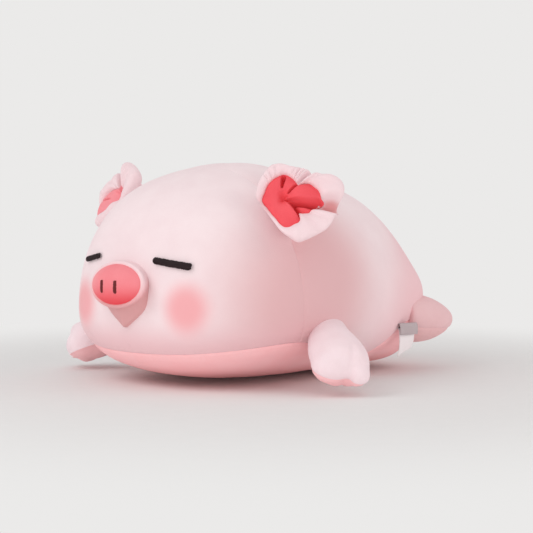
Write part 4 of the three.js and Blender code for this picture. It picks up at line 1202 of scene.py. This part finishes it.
# %% Sizes of the ears
STITCH_Y, EAR_LEAN, STITCH_DEPTH, EAR_STEPS = -105, math.radians(28), -9, 288
EARS = {
    "left": {
        "stand_out": 34.8, "under_top": 34, "facing": 38, "crest_share": 0.62,
        "petals": [(-75, 13, 1.6, -1.0), (-105, 12, 0.8, -2.0), (-150, 7, 0.6, -4.0), (150, 7, 1.0, -4.0),
                   (115, 9, 1.0, -3.0), (80, 12, 1.0, -2.0), (60, 13, 1.6, -1.0), (28, 16, 3.4, -0.5),
                   (4, 16, 2.8, -0.8), (-6, 15, 1.8, -1.2), (-12, 16, -3.5, -8.0), (-27, 17, -4.5, -6.5),
                   (-42, 16, -5.5, -7.5), (-52, 13, 0.8, -2.0)],
        "rim": [(-176, 23), (-165, 21), (-145, 19.8), (-120, 21.8), (-101, 27.5), (-88, 35), (-80, 40),
                (-72, 46.5), (-62, 47.5), (-50, 48.5), (-38, 50.5), (-28, 50.5), (-19, 50), (-13, 50.5),
                (-7, 47), (1, 52.5), (8, 54.4), (16, 53.4), (25, 48), (33, 40), (42, 36), (55, 33),
                (66, 31.5), (80, 31), (95, 33), (108, 33.5), (123, 30), (143, 26.5), (165, 24)],
        "lining": [(-174, 18.5), (-145, 16.6), (-119, 18.6), (-100, 23), (-93, 26.4), (-84, 30), (-78, 30.8),
                   (-68, 30.2), (-56, 28.6), (-51, 24.5), (-46, 20.5), (-40, 21.5), (-31, 26.3), (-22, 27.3),
                   (-15, 29.5), (-9, 36.5), (-4, 34), (-1, 33.5), (9, 32), (20, 28.6), (29, 26), (34, 22.8),
                   (39, 18.2), (46, 17.5), (53, 18.1), (73, 20.8), (89, 23.1), (108, 21.7), (131, 19.8),
                   (160, 17.6)],
        "folds": [(104, 90, 0.3, 0.5, 2.2, 9.0), (37, 43, 0.2, 0.7, 1.4, 7.0),
                  (-48, -9.5, 0.12, 0.9, 3.6, 10.0), (-22, -47, 0.25, 0.8, 2.4, 8.0)],
        "notches": [(-9, 7.0, 17.0), (44, 4.5, 6.0)],
        "wrinkles": [(54, 1.9, 2.6), (61, 1.9, 2.6), (70, 2.4, 1.6), (104, 4.0, 1.8), (117, 2.4, 1.8),
                     (128, 2.4, 1.8), (-30, 3.5, 1.8), (31, 3.4, 2.2), (14, 5.0, 1.0), (-62, 5.0, 0.8)],
    },
    "right": {
        "stand_out": 25.5, "under_top": 30, "facing": 23, "crest_share": 0.78,
        "petals": [(-105, 12, 0.8, -2.0), (-150, 7, 0.6, -4.0), (150, 7, 1.0, -4.0), (115, 9, 1.0, -3.0),
                   (80, 12, 1.0, -2.0), (60, 13, 1.6, -1.0), (46, 20, 0.5, -1.0), (28, 16, 3.0, -0.5),
                   (4, 22, 4.0, 1.0), (-14, 27, 6.0, 3.0), (-28, 29, 7.0, 4.0), (-42, 28, 6.5, 3.5),
                   (-58, 22, 4.5, 1.5), (-75, 15, 2.0, -1.0)],
        "rim": [(-176, 23), (-165, 20.5), (-145, 18), (-120, 19.5), (-101, 24), (-88, 30), (-80, 35),
                (-72, 39), (-62, 41), (-50, 41.5), (-40, 42.5), (-30, 44.5), (-20, 47.8), (-10, 50.4),
                (0, 52.5), (10, 53.7), (20, 50), (30, 45), (42, 38), (50, 45), (60, 42), (70, 37), (80, 34),
                (90, 31.5), (100, 30.5), (115, 30), (130, 29.5), (143, 26.5), (165, 24)],
        "lining": [(-176, 7), (-150, 7), (-120, 7), (-90, 10), (-72, 18), (-60, 27), (-50, 34.5), (-40, 39.5),
                   (-28, 42), (-15, 42), (-4, 37), (5, 30), (12, 22), (22, 15), (34, 14), (41, 24), (46, 36),
                   (51, 24), (58, 12), (75, 8), (110, 7), (150, 7)],
        "folds": [(56, 46, 0.15, 0.6, 2.0, 8.0), (-26, -18, 0.3, 0.7, 2.0, 4.0)],
        "notches": [(44, 4.0, 9.0), (-20, 5.0, 2.0)],
        "wrinkles": [(62, 3.2, 1.4), (76, 3.0, 1.4), (104, 5.0, 1.4), (20, 4.0, 1.4), (-45, 4.0, 1.2)],
    },
}


def apart(turns, turn):
    """How many degrees lie between these turns and another."""
    return np.abs((turns - turn + 180) % 360 - 180)


def round_table(table, turns):
    """A smooth closed line through a table of (degrees, value)."""
    at, value = np.array(sorted(table), float).T
    at, value = np.concatenate([at - 360, at, at + 360]), np.tile(value, 3)
    return smooth_through(at, value, (np.asarray(turns) + 180) % 360 - 180)


print("petals' places:", [len(sizes["petals"]) for sizes in EARS.values()])

# %% [markdown]
# An ear is a set of rings round its stitch. On the lining, each ring climbs out of the gather to the
# petals' crests, falls to their edges, and drops into the folds, which are steep sided because one layer
# of cloth lies over another. The outer cloth starts under the lining, swells into the rim, and runs back
# to the seam on the head.

# %% The gathered ear
RIM_FATTEST = 8.5
FLANGE_GAP = 1.4  # the hidden edge of the outer cloth lies this far under the lining
BACK_DEPTH, ROOT_DEPTH = 9.5, 33  # how far the back of the ear lies behind its face, and its root behind that
ROOT_TURN, ROOT_SHIFT = math.radians(222), 7
RIM_RINGS, BACK_RINGS, ROOT_RINGS = 19, 13, 12


class GatheredEar:
    """Rings of points for one ear. The right one is mirrored."""

    def __init__(self, side_name):
        self.sizes, self.side = EARS[side_name], SIDES[side_name]
        height, facing = HEIGHT - self.sizes["under_top"], math.radians(self.sizes["facing"])
        stand_out = float(half_width_at(STITCH_Y, height)) + self.sizes["stand_out"]
        self.stitch = np.array([stand_out, STITCH_Y, height])
        self.across = np.array([math.cos(facing), math.sin(facing), 0])
        self.up = np.array([-math.sin(facing) * math.sin(EAR_LEAN), math.cos(facing) * math.sin(EAR_LEAN),
                            math.cos(EAR_LEAN)])
        self.out = np.cross(self.across, self.up)
        self.turns = np.linspace(-180, 180, EAR_STEPS, endpoint=False)
        self.rim = round_table(self.sizes["rim"], self.turns)
        self.lining = np.minimum(round_table(self.sizes["lining"], self.turns), self.rim - 2.0)
        crest_reach, self.crest, self.edge = (
            round_table([(row[0], row[column]) for row in self.sizes["petals"]], self.turns)
            for column in (1, 2, 3))
        self.crest_reach = np.minimum(crest_reach, self.sizes["crest_share"] * self.lining)
        self.notch = self.creases(self.sizes["notches"])
        self.wrinkle = self.creases(self.sizes["wrinkles"])

    def creases(self, rows):
        """How deep the cloth is creased at each turn, from rows of turn, half width and depth."""
        return sum(depth * np.exp(-(apart(self.turns, turn) / width) ** 2) for turn, width, depth in rows)

    def place(self, reach, height, shift=(0, 0)):
        """Puts ring points round the stitch. Height is out of the ear's face."""
        turn = np.radians(self.turns)
        flat = (np.outer(reach * np.cos(turn) + shift[0], self.across)
                + np.outer(reach * np.sin(turn) + shift[1], self.up))
        outward = np.outer(np.broadcast_to(height, len(turn)), self.out)
        return (self.stitch + flat + outward) * [self.side, 1, 1]

    def fold_depth(self, share):
        """How deep the folds are at this share of the way to the lining's edge."""
        deepest = np.zeros(len(self.turns))
        for inner, outer, start, narrow, wide, depth in self.sizes["folds"]:
            middle = outer + (inner - outer) * (1 - share) ** 1.6
            away = np.radians(np.minimum(apart(self.turns, middle), 90))
            width = narrow + (wide - narrow) * share
            fade = smoother(np.array((share - start) / 0.3)) * smoother(np.array((1 - share) / 0.12))
            steep = np.exp(-(self.lining * share * np.sin(away) / width) ** 4)
            deepest = np.maximum(deepest, depth * float(fade) * steep)
        return deepest

    def lining_height(self, share):
        """How far the lining stands out at this share of the way to its edge."""
        reach = self.lining * share
        rise = np.sin(math.pi / 2 * np.clip(reach / self.crest_reach, 0, 1)) ** 0.8
        fall = np.clip((reach - self.crest_reach) / np.maximum(self.lining - self.crest_reach, 2), 0, 1)
        return (STITCH_DEPTH + (self.crest - STITCH_DEPTH) * rise + (self.edge - self.crest) * fall ** 2
                - self.fold_depth(share))

    def lining_rings(self):
        """Rings of the lining, from its edge to the stitch."""
        shares = np.concatenate([np.linspace(1, 0.86, 12), np.linspace(0.84, 0.03, 30)])
        return [self.place(self.lining * share, self.lining_height(share)) for share in shares]

    def outer_rings(self):
        """Rings of the outer cloth, from under the lining round the rim to the root."""
        edge, width = self.edge - 0.15 * self.fold_depth(1.0), self.rim - self.lining
        lobe = np.clip(1 - self.notch / 8, 0.1, 1)
        fatness = np.clip(width * 0.5, 1.0, RIM_FATTEST) * lobe
        rings = [self.place(self.lining * share, self.lining_height(share) - FLANGE_GAP)
                 for share in (0.86, 0.9, 0.94, 0.97)]
        for share in np.linspace(0, 1, RIM_RINGS):
            turn = math.pi * (1 - share)
            reach = self.lining + width * (0.5 + 0.5 * math.cos(turn))
            puffed = (fatness - self.wrinkle) * math.sin(turn) ** 0.8
            height = (edge - 0.8) * (1 - share ** 2) + puffed - self.notch * share ** 0.7
            rings.append(self.place(reach, height))
        for share in np.linspace(0, 1, BACK_RINGS)[1:]:
            reach = self.rim * (1 - 0.05 * share - 0.25 * share ** 2) - 0.15 * self.notch * share
            depth = BACK_DEPTH * math.sin(share * math.pi / 2)
            rings.append(self.place(reach, -depth - self.notch * (1 - share)))
        gathers = 0.6 * np.sin(np.radians(self.turns) * 14)
        for share in np.linspace(0, 1, ROOT_RINGS)[1:]:
            shift = ROOT_SHIFT * share * math.cos(ROOT_TURN), ROOT_SHIFT * share * math.sin(ROOT_TURN)
            reach = self.rim * (0.7 - 0.38 * share) + gathers * math.sin(math.pi * share)
            rings.append(self.place(reach, -BACK_DEPTH - ROOT_DEPTH * share ** 1.3, shift))
        return rings


print("points in a ring of an ear:", EAR_STEPS)

# %% [markdown]
# Each ear is two pieces, the outer cloth and the lining. Two places near the ear's root are worked out with
# them.

# %% Make the ears
for side_name in SIDES:
    ear = GatheredEar(side_name)
    root = ear.stitch * [ear.side, 1, 1]
    bend = [Vector((root + place) * MM) for place in ([-33 * ear.side, 1, -16], [-13 * ear.side, -1, -8])]
    for part, rings, material, slot, fill in (
        ("outer", ear.outer_rings(), ear_plush, "plush_limb", 0.6),
        ("lining", ear.lining_rings(), coral_plush, "lining_coral", 0.5),
    ):
        cloth = mesh_object(f"ear_{side_name}_{part}_cloth", *skin_over(rings, close_end=True), material)
        dress(cloth, f"ear_{side_name}", [f"ear_{part}_{side_name}"], bend)
        print(cloth.name, len(cloth.data.polygons), "faces")

# %% [markdown]
# The tail is a short curl: a stuffed tube that winds most of the way round once while it comes out of the
# rump, with the wrinkles that a bent tube gets.

# %% Tail
TAIL_ROOT = np.array([0, 168, 84.0])
TAIL_COIL, TAIL_RADIUS, TAIL_PITCH, TAIL_TURNS, TAIL_SINK = 11, 7, 15, 0.8, 14
TAIL_RINGS, TAIL_SIDES = 61, 28


def tail_line(share):
    """The middle of the tail's tube at this share of its length."""
    reach = TAIL_SINK + TAIL_COIL * 2 * math.pi * TAIL_TURNS
    coil = max(0.0, (share * reach - TAIL_SINK) / (reach - TAIL_SINK))
    turn = 2 * math.pi * TAIL_TURNS * coil
    return np.array([TAIL_COIL * math.sin(turn),
                     TAIL_ROOT[1] + min(0.0, share * reach - TAIL_SINK) + TAIL_RADIUS + TAIL_PITCH * coil,
                     TAIL_ROOT[2] + TAIL_COIL * (1 - math.cos(turn))])


tail_rings = []
tail_normal = np.array([1.0, 0, 0])
tail_turns = np.linspace(0, 2 * math.pi, TAIL_SIDES, endpoint=False)
for step in range(TAIL_RINGS):
    share = step / (TAIL_RINGS - 1)
    ahead = tail_line(min(1, share + 0.01)) - tail_line(max(0, share - 0.01))
    ahead /= np.linalg.norm(ahead)
    tail_normal = tail_normal - ahead * (tail_normal @ ahead)
    tail_normal /= np.linalg.norm(tail_normal)
    other = np.cross(ahead, tail_normal)
    radius = TAIL_RADIUS * math.sqrt(max(0.004, 1 - share ** 5)) * (1 - 0.25 * share)
    ripple = 1 - 0.03 * (0.5 + 0.5 * math.cos(share * 60))
    ring = np.outer(np.cos(tail_turns), tail_normal) + np.outer(np.sin(tail_turns), other)
    tail_rings.append(tail_line(share) + radius * ripple * ring)
tail = mesh_object("tail_cloth", *skin_over(tail_rings, close_end=True), foot_plush)
dress(tail, "tail", ["tail"])
print("tail faces:", len(tail.data.polygons))

# %% [markdown]
# Two labels are sewn into the belly seam ahead of the left foot: a white satin care label that hangs down
# and curls, and a short grey woven tab folded over it. Both are bare. Each is a thin strip that leaves
# the seam, folds and hangs, so each is one bent sheet with a little thickness.

# %% Sizes of the labels
LABEL_WIDTH = 21
CARE_WIDTH = LABEL_WIDTH * 0.86
LABEL_Y = 80
LABEL_TURN = math.radians(25)  # its rear end stands off the cloth
LABEL_ROWS, LABEL_COLUMNS = 40, 15
WEAVE_PITCH = 3.2 * MM
CARE_LINE = [(-2, 0), (3.4, 0), (5.4, -3), (8.0, -12), (9.4, -19), (9.4, -25)]  # outward and up, in mm
TAB_LINE = [(-2, 1.6), (4.0, 5.6), (7.2, 5.9), (8.6, 3.4), (8.8, -0.6), (8.4, -5.2)]


def seam_place(y):
    """The place of the belly seam this far back."""
    z = float(belly_seam_height(y))
    return np.array([float(half_width_at(y, z)), y, z])


print("the labels' place, mm:", seam_place(LABEL_Y).round(1).tolist())

# %% [markdown]
# Label ribbon is woven, so it shows threads at right angles: two sets of waves, one times the other,
# for both the tone and the relief. Satin is smoother than the plain weave of the tab, so it has more
# gloss.

# %% Label ribbon


def woven_label(name, shade, thread_shade, roughness):
    """Label ribbon: fine threads at right angles, drawn coarse enough to show."""
    material, tree, shader = new_material(name, roughness)
    place = add_node(tree, "ShaderNodeTexCoord").outputs["Object"]
    warp, weft = [add_node(tree, "ShaderNodeTexWave", {"bands_direction": axis}, Vector=place,
                           Scale=1 / WEAVE_PITCH, Distortion=0.4).outputs["Fac"] for axis in "ZY"]
    threads = add_node(tree, "ShaderNodeMath", {"operation": "MULTIPLY"}, _0=warp, _1=weft)
    tone = add_node(tree, "ShaderNodeMix", {"data_type": "RGBA"}, Factor=threads.outputs[0],
                    A=linear(thread_shade), B=linear(shade))
    tree.links.new(tone.outputs["Result"], shader.inputs["Base Color"])
    relief = add_node(tree, "ShaderNodeBump", Strength=0.3, Distance=0.1 * MM, Height=threads.outputs[0])
    tree.links.new(relief.outputs["Normal"], shader.inputs["Normal"])
    return material


label_satin = woven_label("care_label_satin_white", 0xFDF8F8, 0xEEE6E7, 0.45)
tab_weave = woven_label("tab_woven_grey", 0xD2C6C8, 0xB5A7A9, 0.7)
print("label ribbons:", label_satin.name, tab_weave.name)

# %% [markdown]
# A strip follows a line that goes out from the seam and folds down. The line is made smooth, each row of
# points lies across it, and the rows are turned bit by bit, so that the long label swings forward.

# %% Bend the labels


def label_strip(name, line, width, thickness, curl, bend, material):
    """A strip along a line of (outward, up) places in mm, from the seam on. `bend` turns its end forward."""
    ahead, behind = seam_place(LABEL_Y - width / 2), seam_place(LABEL_Y + width / 2)
    seam_x, seam_y = (ahead - behind)[:2] / np.linalg.norm((ahead - behind)[:2])
    cos, sin = math.cos(LABEL_TURN), math.sin(LABEL_TURN)
    along_seam = np.array([seam_x * cos + seam_y * sin, seam_y * cos - seam_x * sin, 0])
    outward = np.array([-along_seam[1], along_seam[0], 0])
    upward = np.cross(along_seam, outward)
    line = np.array(line, float)
    lengths = np.concatenate([[0], np.cumsum(np.linalg.norm(np.diff(line, axis=0), axis=1))])
    steps = np.linspace(0, lengths[-1], LABEL_ROWS)
    smooth_line = np.stack([np.interp(steps, lengths, line[:, k]) for k in (0, 1)], axis=1)
    for _ in range(6):
        smooth_line[1:-1] = (smooth_line[:-2] + 2 * smooth_line[1:-1] + smooth_line[2:]) / 4
    points, middle, last_up = [], seam_place(LABEL_Y), line[0][1]
    for step, (out, up) in enumerate(smooth_line):
        share = step / (LABEL_ROWS - 1)
        turned = math.radians(bend) * share
        middle = middle + (upward * math.cos(turned) - along_seam * math.sin(turned)) * (up - last_up)
        last_up = up
        edgewise = along_seam * math.cos(turned) - upward * math.sin(turned)
        for across in np.linspace(-1, 1, LABEL_COLUMNS):
            lift = curl * share ** 2 * (across ** 2 - 0.3)
            points.append(middle + outward * (out + lift) + edgewise * across * width / 2)
    faces = []
    for row in range(LABEL_ROWS - 1):
        for column in range(LABEL_COLUMNS - 1):
            corner = row * LABEL_COLUMNS + column
            faces.append([corner, corner + 1, corner + LABEL_COLUMNS + 1, corner + LABEL_COLUMNS])
    strip = mesh_object(name, points, faces, material)
    solid = strip.modifiers.new("thickness", "SOLIDIFY")
    solid.thickness, solid.offset = thickness * MM, 0
    bpy.context.view_layer.update()
    return settle_modifiers(strip), lengths[-1]


care_label, care_length = label_strip("care_label_strip", CARE_LINE, CARE_WIDTH, 0.35, 1.2, 26, label_satin)
sewn_tab, tab_length = label_strip("sewn_tab_strip", TAB_LINE, LABEL_WIDTH, 0.5, 0.3, 0, tab_weave)
for label, node, slot, width, length in ((care_label, "care_label", "label_white", CARE_WIDTH, care_length),
                                         (sewn_tab, "sewn_tab", "label_grey", LABEL_WIDTH, tab_length)):
    dress(label, "labels", [node])
    print(label.name, "length, mm:", round(float(length), 1))

# %% [markdown]
# Under the cloth lies the filling: polyester fibre in soft tufts. It can't be seen, but each stuffed form
# holds it, so each gets its own body of filling, a little inside its cloth.

# %% Filling
FIBRE_TUFT = 8 * MM
FILLING_INSET = 9.0  # mm inside the body's cloth
fibre, _ = tufted("polyester_fibre_filling", 0.95, FIBRE_TUFT, 5.0, 0xF7F5F1, 0xE9E5DE)


def filling(name, body_name, points, quads, size, blend=None):
    """A tufted body of filling for one stuffed form."""
    thing = mesh_object(f"{name}_filling", points, quads, fibre)
    settled, normals = points_of(thing), normals_of(thing)
    set_points(thing, settled + normals * (lumps(settled, size, 8) * size * 0.08)[:, None])
    return dress(thing, body_name, [f"{name}_stuffing"], blend)


fine_ball, fine_quads = ball_of_quads(FILLING_CELLS)
filling("body", "torso", body_surface(fine_ball, -FILLING_INSET), fine_quads, 30)
snout_size = np.array([RIM[0] - 10, 9.0, RIM[1] - 8])
filling("snout", "torso", ball * snout_size + SNOUT_MIDDLE + [0, -5, 0.5], quads, 12)
for side_name in SIDES:
    paw, foot = PAWS[side_name], FEET[side_name]
    inside_paw = ball * [26, PAW_HALF_WIDTH - 9, PAW_HALF_THICKNESS - 9] + [50, 0, -1]
    filling(f"paw_{side_name}", f"front_paw_{side_name}", paw.place(inside_paw), quads, 12, paw.bend)
    inside_foot = ball * [24, FOOT_HALF_WIDTH - 11, FOOT_HALF_THICKNESS - 10] + [38, 0, 0]
    filling(f"foot_{side_name}", f"rear_foot_{side_name}", foot.place(inside_foot), quads, 12, foot.bend)
